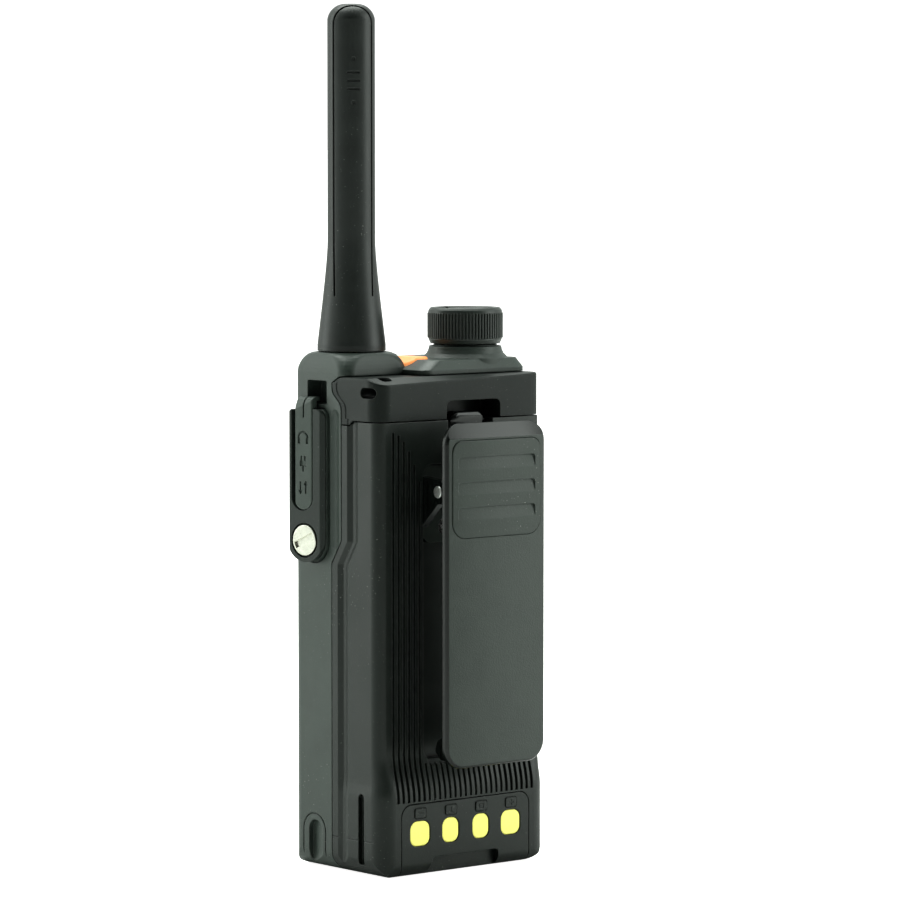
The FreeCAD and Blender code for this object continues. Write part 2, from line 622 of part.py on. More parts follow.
def antenna_connector():
    """Antenna socket on the radio."""
    foot = lathe([(0, 118.4), (4.4, 118.4), (4.4, 120.4), (0, 120.4)], ANTENNA_X, ANTENNA_Y)
    barrel = rod("z", 3.2, (ANTENNA_X, ANTENNA_Y, 119.5), 12.0)
    return cut(fuse(foot, barrel), rod("z", 1.6, (ANTENNA_X, ANTENNA_Y, 123.0), 12))


def control_board():
    """Board that carries the knob's encoder and the emergency switch."""
    return box(-22.0, 9.5, -14.5, 4.7, 117.2, 118.2)


def volume_encoder():
    """Body of the encoder that the knob turns."""
    body = box(KNOB_X - 6, KNOB_X + 6, KNOB_Y - 4.8, KNOB_Y + 4.7, 118.2, 123.5)
    bush = rod("z", 4.5, (KNOB_X, KNOB_Y, 123.5), 3.6)
    return cut(fuse(body, bush), rod("z", SHAFT_RADIUS + SHAFT_CLEARANCE, (KNOB_X, KNOB_Y, 120.0), 12))


def emergency_switch():
    """Press switch under the emergency button."""
    x = (BUTTON_X[0] + BUTTON_X[1]) / 2
    y = (BUTTON_Y[0] + BUTTON_Y[1]) / 2
    return fuse(box(x - 4.4, x - 0.2, y - 3, y + 3, 118.2, 121.5), rod("z", 1.1, (x - 2.2, y, 121.5), 0.8))


def radio_contacts():
    """Sprung fingers that meet the battery's contacts."""
    fingers = []
    for i in range(5):
        x = (i - 2) * 4.0
        fingers.append(prism("yz", [(-7.0, 31.0), (-3.0, 30.4), (-2.25, 31.4), (-2.25, 33.6), (-3.0, 34.6),
                                    (-3.3, 34.4), (-2.7, 33.4), (-2.7, 31.7), (-3.2, 31.0), (-7.0, 31.5)],
                             x - 0.8, x + 0.8))
    return Part.makeCompound(fingers)


# ---------------------------------------------------------------- top controls
def emergency_button():
    """Emergency button: rounded pad that slopes down towards the antenna, on a stem."""
    pad = prism("xy", rectangle(BUTTON_X[0], BUTTON_X[1], BUTTON_Y[0], BUTTON_Y[1], 2.2), 127.7, BUTTON_TOP)
    slope = prism("xz", [(4.0, BUTTON_TOP), (9.0, 127.9), (9.0, 135), (4.0, 135)], -20, 20)
    pad = cut(pad, slope)
    pad = fillet(pad, 0.5, lambda e: e.BoundBox.ZMin > 128.0)
    x = (BUTTON_X[0] + BUTTON_X[1]) / 2
    y = (BUTTON_Y[0] + BUTTON_Y[1]) / 2
    stem = rod("z", 1.5, (x - 2.2, y, 123.3), 5.0)
    return fuse(pad, stem)


def volume_knob():
    """Knob with fine ribs, a chamfered foot and a shallow dish on top."""
    outer, inner = KNOB_RADIUS, KNOB_RADIUS - 0.42
    points = []
    for i in range(KNOB_RIBS):
        for share, radius in ((0.0, inner), (0.22, inner), (0.36, outer), (0.86, outer)):
            angle = 2 * math.pi * (i + share) / KNOB_RIBS
            points.append(V(radius * math.cos(angle), radius * math.sin(angle), KNOB_BOTTOM + 1.4))
    wheel = Part.Face(Part.makePolygon(points + [points[0]])).extrude(V(0, 0, KNOB_RIB_TOP - KNOB_BOTTOM - 1.4))
    wheel.translate(V(KNOB_X, KNOB_Y, 0))
    foot = lathe([(0, KNOB_BOTTOM), (9.0, KNOB_BOTTOM), (9.45, KNOB_BOTTOM + 1.0), (9.45, KNOB_BOTTOM + 1.4),
                  (0, KNOB_BOTTOM + 1.4)], KNOB_X, KNOB_Y)
    crown = lathe([(0, KNOB_RIB_TOP), (9.6, KNOB_RIB_TOP), (9.45, KNOB_RIB_TOP + 0.8), (8.9, KNOB_TOP),
                   (7.7, KNOB_TOP), (7.2, KNOB_TOP - 0.5), (0, KNOB_TOP - 0.7)], KNOB_X, KNOB_Y)
    mark = box(KNOB_X - 0.45, KNOB_X + 0.45, KNOB_Y - 8.3, KNOB_Y - 4.2, KNOB_TOP - 1.0, KNOB_TOP + 1)
    bore = rod("z", SHAFT_RADIUS, (KNOB_X, KNOB_Y, KNOB_BOTTOM - 1), 7.0)
    return cut(fuse(wheel, foot, crown), bore, mark)


def encoder_shaft():
    """Shaft between the encoder and the knob."""
    return rod("z", SHAFT_RADIUS, (KNOB_X, KNOB_Y, 120.4), KNOB_BOTTOM + 6.0 - 120.4)


# ---------------------------------------------------------------- antenna
def antenna_body():
    """Outer form: slim rod with a dome, widening to a round foot."""
    a = ANTENNA_RADIUS
    shape = [(0, ANTENNA_BASE), (ANTENNA_BASE_RADIUS, ANTENNA_BASE)]
    flare_bottom, flare_top = ANTENNA_BASE + 1.5, 160.0
    steps = 14
    for i in range(steps + 1):
        t = i / steps
        z = flare_bottom + (flare_top - flare_bottom) * t
        shape.append((a + (ANTENNA_BASE_RADIUS - a) * (1 - t) ** 1.45 * (1 + 0.3 * t), z))
    rod_wire = [V(r, 0, z) for r, z in shape]
    flare = Part.BSplineCurve()
    flare.interpolate(rod_wire[2:])
    dome, flat = 3.9, 4.6
    top = ANTENNA_TOP
    shoulder = Part.Arc(V(a, 0, top - dome), V(a - 1.55, 0, top - 1.15), V(a - flat, 0, top - 0.05))
    edges = [Part.makeLine(rod_wire[0], rod_wire[1]), Part.makeLine(rod_wire[1], rod_wire[2]), flare.toShape(),
             Part.makeLine(rod_wire[-1], V(a, 0, top - dome)), shoulder.toShape(),
             Part.makeLine(V(a - flat, 0, top - 0.05), V(0, 0, top)), Part.makeLine(V(0, 0, top), rod_wire[0])]
    return Part.Face(Part.Wire(edges)).revolve(V(0, 0, 0), V(0, 0, 1), 360)


def antenna_sleeve():
    """Moulded antenna sleeve with the outlined panel on two sides and its row of marks."""
    body = antenna_body()
    low, high = 146.0, ANTENNA_TOP - 0.55
    half, width = 4.95, 0.32
    panel = rectangle(-half, half, low, high, (0.3, 0.3, 4.6, 4.6))
    inside = rectangle(-half + width, half - width, low - 1, high - width, (0.3, 0.3, 4.6 - width, 4.6 - width))
    grooves = []
    for side in (1, -1):
        near, far = (3.05, 12.0) if side > 0 else (-12.0, -3.05)
        ring = prism("xz", panel, near, far).cut(prism("xz", inside, near - 1, far + 1))
        grooves.append(ring)
    marks = []
    for z in (195.0, 206.0):
        marks.append(rod("y", 0.55, (0, 5.85, z), 3))
    for i in range(3):
        z = 198.4 + i * 2.1
        marks.append(prism("xz", rectangle(-1.6, 1.6, z - 0.32, z + 0.32, 0.3), 5.5, 9))
    body = cut(body, *grooves, *marks)
    body = cut(body, rod("z", 1.55, (0, 0, ANTENNA_BASE - 1), 7.0), box(-2.6, 2.6, -0.5, 0.5, 140.0, 214.0))
    body.rotate(V(0, 0, 0), V(0, 0, 1), PANEL_ANGLE - 90)
    body.translate(V(ANTENNA_X, ANTENNA_Y, 0))
    return body


def antenna_element():
    """Radiating strip inside the sleeve."""
    strip = box(-2.5, 2.5, -0.4, 0.4, 140.1, 213.9)
    strip.rotate(V(0, 0, 0), V(0, 0, 1), PANEL_ANGLE - 90)
    strip.translate(V(ANTENNA_X, ANTENNA_Y, 0))
    return strip


def antenna_stud():
    """Metal stud at the antenna's foot, which screws into the socket."""
    return rod("z", 1.55, (ANTENNA_X, ANTENNA_Y, 124.0), ANTENNA_BASE + 6.0 - 124.0)


# ---------------------------------------------------------------- accessory cover
def cover_section():
    """Plan of the cover: flat inside, outer face leaning towards the back, steep wall along its rear edge."""
    return [(COVER_INSIDE, COVER_FRONT), (30.7, COVER_FRONT + 0.1, 0.5), (31.4, COVER_FRONT + 0.8, 0.3),
            (29.65, COVER_BACK - 0.9, 0.4), (COVER_INSIDE, COVER_BACK)]


def cover_outline(grow):
    """Outline of the cover in the YZ plane, grown by this much."""
    return rectangle(COVER_FRONT - grow, COVER_BACK + grow, COVER_BOTTOM - grow, COVER_TOP + grow,
                     (6.0 + grow, 6.0 + grow, 2.6 + grow, 2.6 + grow))


def accessory_cover():
    """Cover over the accessory socket, with a seat for the soft flap and one for the thumb screw."""
    solid = prism("xy", cover_section(), 70, 130)
    cover = solid.common(prism("yz", cover_outline(0), 20, 40))
    socket_space = prism("yz", rectangle(-13.4, -6.6, 93.0, 111.0, 1.2), 20, COVER_INSIDE + 0.3)
    flap_seat = prism("yz", rectangle(FLAP_FRONT - 1.15, FLAP_BACK + GAP, FLAP_BOTTOM - GAP, 130, (3.5, 3.5, 0, 0)),
                      29.2, 40)
    screw_seat = rod(thumb_direction(), 4.45, tuple(thumb_point(1.05)), 6)
    screw_hole = rod(thumb_direction() * -1, 1.5, tuple(thumb_point(4.0)), 8)
    return cut(cover, socket_space, flap_seat, screw_seat, screw_hole)


def port_flap():
    """Soft flap set into the cover; its top is a strap that bends over into the slot, with a slit up its middle."""
    plan = [(28.5, FLAP_FRONT), (FLAP_FACE_FRONT, FLAP_FRONT, 0.4), (FLAP_FACE_BACK, FLAP_BACK, 0.4),
            (28.5, FLAP_BACK)]
    side = [(29.25, FLAP_BOTTOM), (32.0, FLAP_BOTTOM), (32.0, 115.5), (31.0, 117.6, 2.5), (29.9, STRAP_TOP, 1.8),
            (28.5, STRAP_TOP), (28.5, COVER_TOP + 0.25), (29.25, COVER_TOP + 0.25)]
    outline = rectangle(FLAP_FRONT, FLAP_BACK, FLAP_BOTTOM, STRAP_TOP + 1, (2.85, 2.85, 0, 0))
    flap = prism("xy", plan, 90, 125).common(prism("xz", side, -20, 0)).common(prism("yz", outline, 20, 40))
    tip = box(27.0, 28.6, FLAP_FRONT + 1.2, FLAP_BACK - 0.6, 119.6, STRAP_TOP)
    slit_floor = prism("xz", [(20, 100), (30.2, 100), (30.2, 116.0), (30.0, 117.3, 2.0), (29.3, 119.9, 1.4),
                              (20, 119.9)], -20, 0)
    slit = cut(box(28.6, 40, -9.75, -9.3, 115.4, 125), slit_floor)
    return cut(fuse(flap, tip), slit, *flap_signs())


def flap_signs():
    """Generic signs sunk in the flap, from the top: earphones, a plug and a pair of arrows."""
    y = (FLAP_FRONT + FLAP_BACK) / 2
    skin = prism("xy", [(FLAP_FACE_FRONT - SIGN_DEPTH, FLAP_FRONT), (40, FLAP_FRONT), (40, FLAP_BACK),
                        (FLAP_FACE_BACK - SIGN_DEPTH, FLAP_BACK)], 90, 115)
    ear_z, plug_z, arrow_z = 110.2, 103.7, 97.6
    band = cut(rod("x", 1.8, (20, y, ear_z), 20), rod("x", 1.25, (20, y, ear_z), 20),
               box(20, 40, -20, 0, 100, ear_z))
    signs = [band]
    for side in (-1, 1):
        ear_low, ear_high = sorted((y + side * 0.95, y + side * 1.8))
        signs.append(box(20, 40, ear_low, ear_high, ear_z - 1.5, ear_z))
        prong = y + side * 0.6
        signs.append(box(20, 40, prong - 0.25, prong + 0.25, plug_z + 0.6, plug_z + 1.9))
        shaft = y + side * 0.9
        signs.append(box(20, 40, shaft - 0.25, shaft + 0.25, arrow_z - 1.5, arrow_z + 1.5))
        signs.append(prism("yz", [(shaft - 0.75, arrow_z + side * 0.7), (shaft + 0.75, arrow_z + side * 0.7),
                                  (shaft, arrow_z + side * 1.8)], 20, 40))
    signs.append(box(20, 40, y - 1.1, y + 1.1, plug_z - 0.7, plug_z + 0.7))
    signs.append(box(20, 40, y - 0.25, y + 0.25, plug_z - 2.0, plug_z - 0.5))
    return [sign.common(skin) for sign in signs]


def thumb_screw():
    """Captive thumb screw with a coin slot."""
    out = thumb_direction()
    head = rod(out, THUMB_RADIUS, tuple(thumb_point(1.2)), 1.1)
    head = fillet(head, 0.2, lambda e: isinstance(e.Curve, Part.Circle))
    shank = rod(out * -1, 1.2, tuple(thumb_point(1.4)), 5.2)
    slot = box(-3.3, 3.3, -0.85, 0.85, -0.6, 2)
    slot.rotate(V(0, 0, 0), V(0, 0, 1), 90 + SLOT_RISE)
    slot.rotate(V(0, 0, 0), V(0, 1, 0), 90)
    slot.rotate(V(0, 0, 0), V(0, 0, 1), COVER_TILT)
    slot.translate(thumb_point(2.3))
    return cut(fuse(head, shank), slot)


# ---------------------------------------------------------------- battery
def battery_section(z, front, half, back, corner):
    """Plan of the battery at one height: lip beside the seam, shallow valley, rounded rear corners."""
    lip = BODY_HALF_WIDTH
    low = half - 0.45
    corners = [(-lip, front, 0), (lip, front, 0), (lip, front + 2.2, 0), (low, front + 3.6, 0),
               (low, front + 4.6, 0), (half, front + 6.2, 0), (half, back, corner), (-half, back, corner),
               (-half, front + 6.2, 0), (-low, front + 4.6, 0), (-low, front + 3.6, 0), (-lip, front + 2.2, 0)]
    return rounded_wire(corners, lambda u, v: V(u, v, z))


def battery_outer():
    """Outer form of the battery: full-depth rounded foot, slimmer waist, stepped front edge."""
    foot = [battery_section(z, SEAM_LOW, FOOT_HALF_WIDTH, FOOT_BACK, FOOT_CORNER) for z in (0.0, FOOT_TOP)]
    lower = Part.makeLoft(foot, True, True)
    back = rectangle(SEAM_LOW, FOOT_BACK, 0, 40, (SEAM_FOOT_ROUND, FOOT_ROUND, 0, 0))
    lower = lower.common(rounded_bottom(BODY_HALF_WIDTH, 0, TALK_SIDE_ROUND, SOCKET_SIDE_ROUND))
    lower = lower.common(prism("yz", back, -40, 40))
    neck = [foot[1]]
    steps = 9
    for i in range(1, steps + 1):
        z = FOOT_TOP + (BACK_FLARE_TOP - FOOT_TOP) * i / steps
        corner = FOOT_CORNER + (WAIST_CORNER - FOOT_CORNER) * flare(z, BACK_FLARE_TOP)
        neck.append(battery_section(z, SEAM_LOW, battery_half_width(z), battery_back(z), corner))
    waist = [battery_section(z, front, WAIST_HALF_WIDTH, WAIST_BACK, WAIST_CORNER)
             for z, front in ((STEP_LOW, SEAM_LOW), (STEP_HIGH, SEAM_HIGH), (BATTERY_TOP, SEAM_HIGH))]
    upper = Part.makeLoft(neck + waist, True, True)
    top_front = box(-40, 40, -10, 4.8, BATTERY_TOP_FRONT, 130)
    top_ramp = prism("yz", [(4.8, BATTERY_TOP_FRONT), (6.1, BATTERY_TOP), (4.8, 130)], -40, 40)
    return cut(fuse(lower, upper), top_front, top_ramp)


def flare(z, high):
    """How far the battery has narrowed at this height: 0 at the foot's top, 1 from this height up."""
    rise = min(1.0, max(0.0, (z - FOOT_TOP) / (high - FOOT_TOP)))
    return (1 - math.cos(math.pi * rise)) / 2


def battery_half_width(z):
    """Half the battery's width at this height above its foot."""
    return FOOT_HALF_WIDTH + (WAIST_HALF_WIDTH - FOOT_HALF_WIDTH) * flare(z, SIDE_FLARE_TOP)


def battery_back(z):
    """Place of the battery's back face at this height above its foot."""
    return FOOT_BACK + (WAIST_BACK - FOOT_BACK) * flare(z, BACK_FLARE_TOP)


def back_ribs():
    """Grooves that leave upright ribs on the battery's back, beside and below the clip."""
    grooves = []
    count, low, levels = 27, 18.9, 8
    for i in range(count):
        x = (i - (count - 1) / 2) * RIB_PITCH
        beside_clip = abs(x) > 12.6
        depth, half = (0.75, 0.42) if beside_clip else (0.6, 0.36)
        high = BACK_FLARE_TOP if beside_clip else 28.2
        heights = [low + (high - low) * k / levels for k in range(levels + 1)]
        floor = [(battery_back(z) - depth, z) for z in heights]
        grooves.append(prism("yz", floor + [(FOOT_BACK + 1, high), (FOOT_BACK + 1, low)], x - half, x + half))
        if beside_clip:
            top = 112.4 - 0.16 * (abs(x) - 22.5) ** 2
            grooves.append(box(x - half, x + half, WAIST_BACK - depth, WAIST_BACK + 1, high, top))
    return grooves


def battery_case():
    """Rear shell of the battery, with ribs, clip recess, latch pocket and side slots."""
    case = battery_outer()
    rounded_space = rounded_bottom(24.8, 3.0, TALK_SIDE_ROUND - 2.4, SOCKET_SIDE_ROUND - 2.4)
    space = box(-40, 40, -6, 11.2, 0, 101.0).common(rounded_space)
    foot_space = prism("yz", [(-6, 0), (15.0, 0), (15.0, 19.0), (11.2, 23.0), (-6, 23.0)], -40, 40)
    foot_space = foot_space.common(rounded_space)
    clip_recess = prism("xz", rectangle(-12.4, 12.4, 29.0, 104.0, 3.0), 13.2, 20)
    ledge = prism("yz", [(13.2, 31.0), (16.2, 27.6), (20, 27.6), (20, 31.0)], -11.0, 11.0)
    latch_pocket = box(LATCH_X[0], LATCH_X[1], HOOK_Y[0] - GAP, 20, 105.0, 120)
    panel_pocket = prism("xz", rectangle(-PANEL_HALF - 0.25, PANEL_HALF + 0.25, -2, PANEL_TOP + 0.25,
                                         (0, 0, 3.2, 3.2)), 16.2, 20)
    tools = [space, foot_space, clip_recess, ledge, latch_pocket, panel_pocket]
    for side in (-1, 1):
        x0, x1 = sorted((side * (BODY_HALF_WIDTH - 1.3), side * (BODY_HALF_WIDTH + 1)))
        tools.append(prism("yz", rectangle(8.5, 10.8, 3.0, 21.0, (0.6, 0.6, 1.1, 1.1)), x0, x1))
        x2, x3 = sorted((side * (BODY_HALF_WIDTH - 0.2), side * (BODY_HALF_WIDTH + 1)))
        tools.append(box(x2, x3, SEAM_LOW - 1, 14.5, 9.0, 9.25))
    tools.extend(back_ribs())
    return cut(case, *tools)


def battery_inner_cover():
    """Flat shell that closes the battery towards the radio."""
    outline = [(SEAM_LOW, 3.1), (SEAM_LOW + 1.6, 3.1), (SEAM_LOW + 1.6, STEP_LOW + 0.6), (SEAM_HIGH + 1.6,
               STEP_HIGH + 0.6), (SEAM_HIGH + 1.6, 100.9), (SEAM_HIGH, 100.9), (SEAM_HIGH, STEP_HIGH),
               (SEAM_LOW, STEP_LOW)]
    cover = prism("yz", outline, -24.7, 24.7)
    cover = cover.common(rounded_bottom(24.7, 3.1, TALK_SIDE_ROUND - 2.5, SOCKET_SIDE_ROUND - 2.5))
    pockets = [box(x - 1.3, x + 1.3, SEAM_LOW - 1, SEAM_LOW + 0.7, 30.0, 35.0) for x in (-8, -4, 0, 4, 8)]
    return cut(cover, *pockets)


def battery_contacts():
    """Five contact pads that meet the radio's fingers."""
    pads = [box(x - 1.25, x + 1.25, SEAM_LOW + 0.05, SEAM_LOW + 0.7, 30.05, 34.95) for x in (-8, -4, 0, 4, 8)]
    return Part.makeCompound(pads)


def battery_cells():
    """Two flat lithium cells side by side."""
    cells = []
    for x0, x1 in ((-24.2, -0.4), (0.4, 24.2)):
        cell = box(x0, x1, 4.0, 11.0, 26.0, 99.0)
        cells.append(fillet(cell, 1.5, lambda e: e.BoundBox.ZLength > 60))
    return Part.makeCompound(cells)


def battery_board():
    """Protection circuit under the cells."""
    return fuse(box(-22, 22, 6.0, 7.2, 5.0, 22.0), box(-10, 2, 7.2, 8.6, 8, 18), box(6, 14, 7.2, 8.2, 9, 15))


def contact_panel():
    """Inset panel on the foot with four contact windows, raised label pads and a notch below."""
    panel = prism("xz", rectangle(-PANEL_HALF, PANEL_HALF, 0.0, PANEL_TOP, (0, 0, 3.0, 3.0)), 16.4, FOOT_BACK)
    panel = panel.common(battery_outer())
    pads = [prism("xz", rectangle(x - 1.75, x + 1.75, 14.75, 17.1, 0.5), FOOT_BACK - 0.1, FOOT_BACK + 0.2)
            for x in CONTACT_X]
    windows = [prism("xz", contact_outline(x, 0.12), 16.0, 20) for x in CONTACT_X]
    notch = prism("xz", [(-10.8, 4.4, 1.0), (10.6, 4.4, 0.6), (12.8, -1), (-10.8, -1)], 16.0, 20)
    label_gap = [prism("xz", rectangle(x - 2.0, x + 2.0, 14.5, 17.35, 0.7), FOOT_BACK - 0.25, 19).cut(
        prism("xz", rectangle(x - 1.75, x + 1.75, 14.75, 17.1, 0.5), 17, 20)) for x in CONTACT_X]
    return cut(fuse(panel, *pads), notch, *windows, *label_gap, *pad_signs())


def pad_signs():
    """Generic signs sunk in the label pads: a bar, a post with a foot, a square ring and a cross."""
    middle = 15.93

    def mark(x, half_width, half_height, z=middle):
        return box(x - half_width, x + half_width, FOOT_BACK + 0.05, FOOT_BACK + 1, z - half_height, z + half_height)

    ring_x, bar_x = CONTACT_X[1], CONTACT_X[3]
    cross_x, post_x = CONTACT_X[0], CONTACT_X[2]
    return [mark(bar_x, 0.85, 0.16), mark(post_x, 0.16, 0.7), mark(post_x, 0.6, 0.16, middle - 0.6),
            mark(ring_x, 0.8, 0.65).cut(mark(ring_x, 0.5, 0.35)), mark(cross_x, 0.8, 0.16), mark(cross_x, 0.16, 0.7)]


def contact_outline(x, grow):
    """Outline of one charging contact; the outer two are wider."""
    half = (3.2 if abs(x) > 10 else 2.7) + grow
    return rectangle(x - half, x + half, CONTACT_Z - 3.15 - grow, CONTACT_Z + 3.15 + grow, 2.1 + grow)


def charge_contacts():
    """Four charging contacts in the panel."""
    contacts = []
    for x in CONTACT_X:
        contact = prism("xz", contact_outline(x, 0), 16.45, FOOT_BACK - 0.15)
        contacts.append(fillet(contact, 0.3, lambda e: along_y(e, FOOT_BACK - 0.15)))
    return Part.makeCompound(contacts)


def battery_latch():
    """Sliding latch: block in the pocket, hook behind the cap's wall, curved thumb tab in the notch."""
    block = box(LATCH_X[0] + GAP, LATCH_X[1] - GAP, HOOK_Y[0], 13.6, 110.5, 114.6)
    hook = prism("yz", [(HOOK_Y[0], 114.0), (HOOK_Y[1], 114.0), (HOOK_Y[1], 116.4), (HOOK_Y[1] - 0.6, 117.2),
                        (HOOK_Y[0], 117.2)], *HOOK_X)
    tab = prism("xz", rectangle(HOOK_X[0], HOOK_X[1], 110.5, 116.9, (0.5, 0.5, 2.4, 2.4)), 12.2, 15.6)
    tab = fillet(tab, 0.9, lambda e: along_y(e, 15.6) and e.BoundBox.ZMax > 111)
    scoop = rod("x", 5.0, (-20, 19.4, 112.4), 40)
    return fuse(block, hook, cut(tab, scoop))


def coil(radius, wire, pitch, turns, start):
    """Round-wire coil from a start point along x."""
    helix = Part.makeHelix(pitch, pitch * turns, radius)
    section = Part.Wire(Part.makeCircle(wire / 2, V(radius, 0, 0), V(0, 1, 0)))
    solid = Part.Wire(helix).makePipeShell([section], True, True)
    solid.rotate(V(0, 0, 0), V(0, 1, 0), 90)
    solid.translate(V(*start))
    return solid.Solids[0] if solid.Solids else Part.Solid(solid)


def latch_spring():
    """Folded strip spring under the latch."""
    x = (LATCH_X[0] + LATCH_X[1]) / 2
    folds, reach, sheet = 4, 2.2, 0.3
    low, high = 105.2, 110.3
    rise = (high - low - sheet) / folds
    strips = []
    for i in range(folds):
        u0, u1 = (x - reach, x + reach) if i % 2 == 0 else (x + reach, x - reach)
        v0, v1 = low + rise * i, low + rise * (i + 1)
        strips.append(prism("xz", [(u0, v0), (u1, v1), (u1, v1 + sheet), (u0, v0 + sheet)], 9.6, 12.2))
    return fuse(*strips)


# ---------------------------------------------------------------- belt clip
def clip_bracket():
    """Bracket in the battery's recess, with two lugs for the clip's pin."""
    base = prism("xz", rectangle(-12.1, 12.1, 84.0, 103.7, (3.0, 3.0, 2.0, 2.0)), 13.2, 15.2)
    lugs = []
    for side in (-1, 1):
        x0, x1 = sorted((side * 10.3, side * 12.3))
        web = prism("yz", [(15.0, 88.0), (PIN_Y, PIN_Z - 3.0), (PIN_Y, PIN_Z + 3.0), (15.0, 101.0)], x0, x1)
        eye = rod("x", 3.1, (x0, PIN_Y, PIN_Z), x1 - x0)
        lugs.append(fuse(web, eye))
    bores = [rod("x", PIN_RADIUS, (-20, PIN_Y, PIN_Z), 40)]
    screw_seats = [rod("y", 2.3, (x, 14.2, 88.0), 4) for x in (-4.5, 4.5)]
    screw_holes = [rod("y", 1.3, (x, 10.0, 88.0), 8) for x in (-4.5, 4.5)]
    return cut(fuse(base, *lugs), *bores, *screw_seats, *screw_holes)


def clip_screws():
    """Two screws that hold the bracket to the battery."""
    screws = []
    for x in (-4.5, 4.5):
        head = rod("y", 2.1, (x, 14.2, 88.0), 0.95)
        shank = rod("y", 1.1, (x, 13.25, 88.0), 1.0)
        cross = [box(x - 1.2, x + 1.2, 14.7, 16, 87.75, 88.25), box(x - 0.25, x + 0.25, 14.7, 16, 86.8, 89.2)]
        screws.append(cut(fuse(head, shank), *cross))
    return Part.makeCompound(screws)


def clip_pin():
    """Steel pin through the bracket's lugs and the clip's ears."""
    pin = rod("x", PIN_RADIUS, (-12.7, PIN_Y, PIN_Z), 25.4)
    return fillet(pin, 0.3, lambda e: isinstance(e.Curve, Part.Circle))


def clip_spring():
    """Torsion spring wound round the pin."""
    return coil(2.5, 0.8, 1.0, 8.0, (-4.0, PIN_Y, PIN_Z))


def belt_clip():
    """Clip: long rounded plate with a bevelled head, stiffening frame, ears for the pin and a lip at the tip."""
    face, inside, inset = CLIP_FACE, CLIP_FACE - CLIP_PLATE, 3.0
    front = rectangle(-CLIP_HALF_WIDTH, CLIP_HALF_WIDTH, CLIP_BOTTOM, CLIP_TOP, (5.5, 5.5, 5.2, 5.2))
    shell = prism("xz", front, inside, face)
    shell = fillet(shell, 1.0, lambda e: along_y(e, face))
    bevel = prism("yz", [(28.4, CLIP_TOP), (face, 111.2), (face + 1, 111.2), (face + 1, 120), (28.4, 120)], -40, 40)
    half = CLIP_HALF_WIDTH - inset
    stiffener = prism("xz", rectangle(-half, half, CLIP_BOTTOM + inset, CLIP_TOP - inset - 2, 3.0), 26.6, inside)
    hollow = prism("xz", rectangle(-half + 2, half - 2, 36.0, 107.0, 2.0), 20, inside)
    shell = fuse(cut(shell, bevel), cut(stiffener, hollow))
    lip = prism("yz", [(28.4, 29.4), (21.2, 29.4, 0.8), (19.0, 31.6, 0.8), (20.0, 34.2, 0.8), (28.4, 38.8)], -11, 11)
    ears = []
    for sign in (-1, 1):
        x0, x1 = sorted((sign * 7.4, sign * 9.9))
        web = prism("yz", [(28.4, 89.0), (PIN_Y, PIN_Z - 3.3), (PIN_Y, PIN_Z + 3.3), (28.4, 106.0)], x0, x1)
        ears.append(fuse(web, rod("x", 3.3, (x0, PIN_Y, PIN_Z), x1 - x0)))
    pad_seat = prism("xz", pad_outline(0.1), face - 0.8, face + 1)
    bore = rod("x", PIN_RADIUS + SHAFT_CLEARANCE, (-20, PIN_Y, PIN_Z), 40)
    return cut(fuse(shell, lip, *ears), pad_seat, bore)


def pad_outline(grow):
    """Outline of the pad on the clip's face."""
    return rectangle(-14.5 - grow, 14.5 + grow, 86.2 - grow, 110.6 + grow, (4.2, 4.2, 3.0, 3.0))


def clip_pad():
    """Thumb pad with three shallow ramped hollows."""
    top = CLIP_FACE + 0.25
    pad = prism("xz", pad_outline(0), CLIP_FACE - 0.75, top)
    pad = fillet(pad, 0.22, lambda e: along_y(e, top))
    hollows = []
    for i in range(3):
        high = 106.5 - i * 6.3
        ramp = prism("yz", [(top + 1, high), (top - 0.55, high), (top + 0.02, high - 3.3), (top + 1, high - 3.3)],
                     -30, 30)
        hollows.append(ramp.common(prism("xz", rectangle(-12.6, 12.6, high - 3.4, high, 0.8), 20, 40)))
    return cut(pad, *hollows)


# ---------------------------------------------------------------- write the sub-parts
PARTS = {
    "front_housing": front_housing, "rear_cap": rear_cap, "rear_chassis": rear_chassis,
    "housing_gasket": housing_gasket, "chassis_screws": chassis_screws, "display_window": display_window,
    "display_module": display_module, "status_lens": status_lens, "menu_key": menu_key,
    "key_membrane": key_membrane, "keypad_board": keypad_board, "main_board": main_board,
    "shield_can": shield_can, "speaker_frame": speaker_frame, "speaker_cone": speaker_cone,
    "speaker_mesh": speaker_mesh, "microphone": microphone, "side_switch_board": side_switch_board,
    "side_switches": side_switches, "accessory_connector": accessory_connector,
    "accessory_contacts": accessory_contacts, "screw_insert": screw_insert,
    "antenna_connector": antenna_connector, "control_board": control_board, "volume_encoder": volume_encoder,
    "emergency_switch": emergency_switch, "radio_contacts": radio_contacts,
    "emergency_button": emergency_button, "volume_knob": volume_knob, "encoder_shaft": encoder_shaft,
    "antenna_sleeve": antenna_sleeve, "antenna_element": antenna_element, "antenna_stud": antenna_stud,
    "accessory_cover": accessory_cover, "port_flap": port_flap, "thumb_screw": thumb_screw,
    "battery_case": battery_case, "battery_inner_cover": battery_inner_cover,
    "battery_contacts": battery_contacts, "battery_cells": battery_cells, "battery_board": battery_board,
    "contact_panel": contact_panel, "charge_contacts": charge_contacts, "battery_latch": battery_latch,
    "latch_spring": latch_spring, "clip_bracket": clip_bracket, "clip_screws": clip_screws,
    "clip_pin": clip_pin, "clip_spring": clip_spring, "belt_clip": belt_clip, "clip_pad": clip_pad,
}


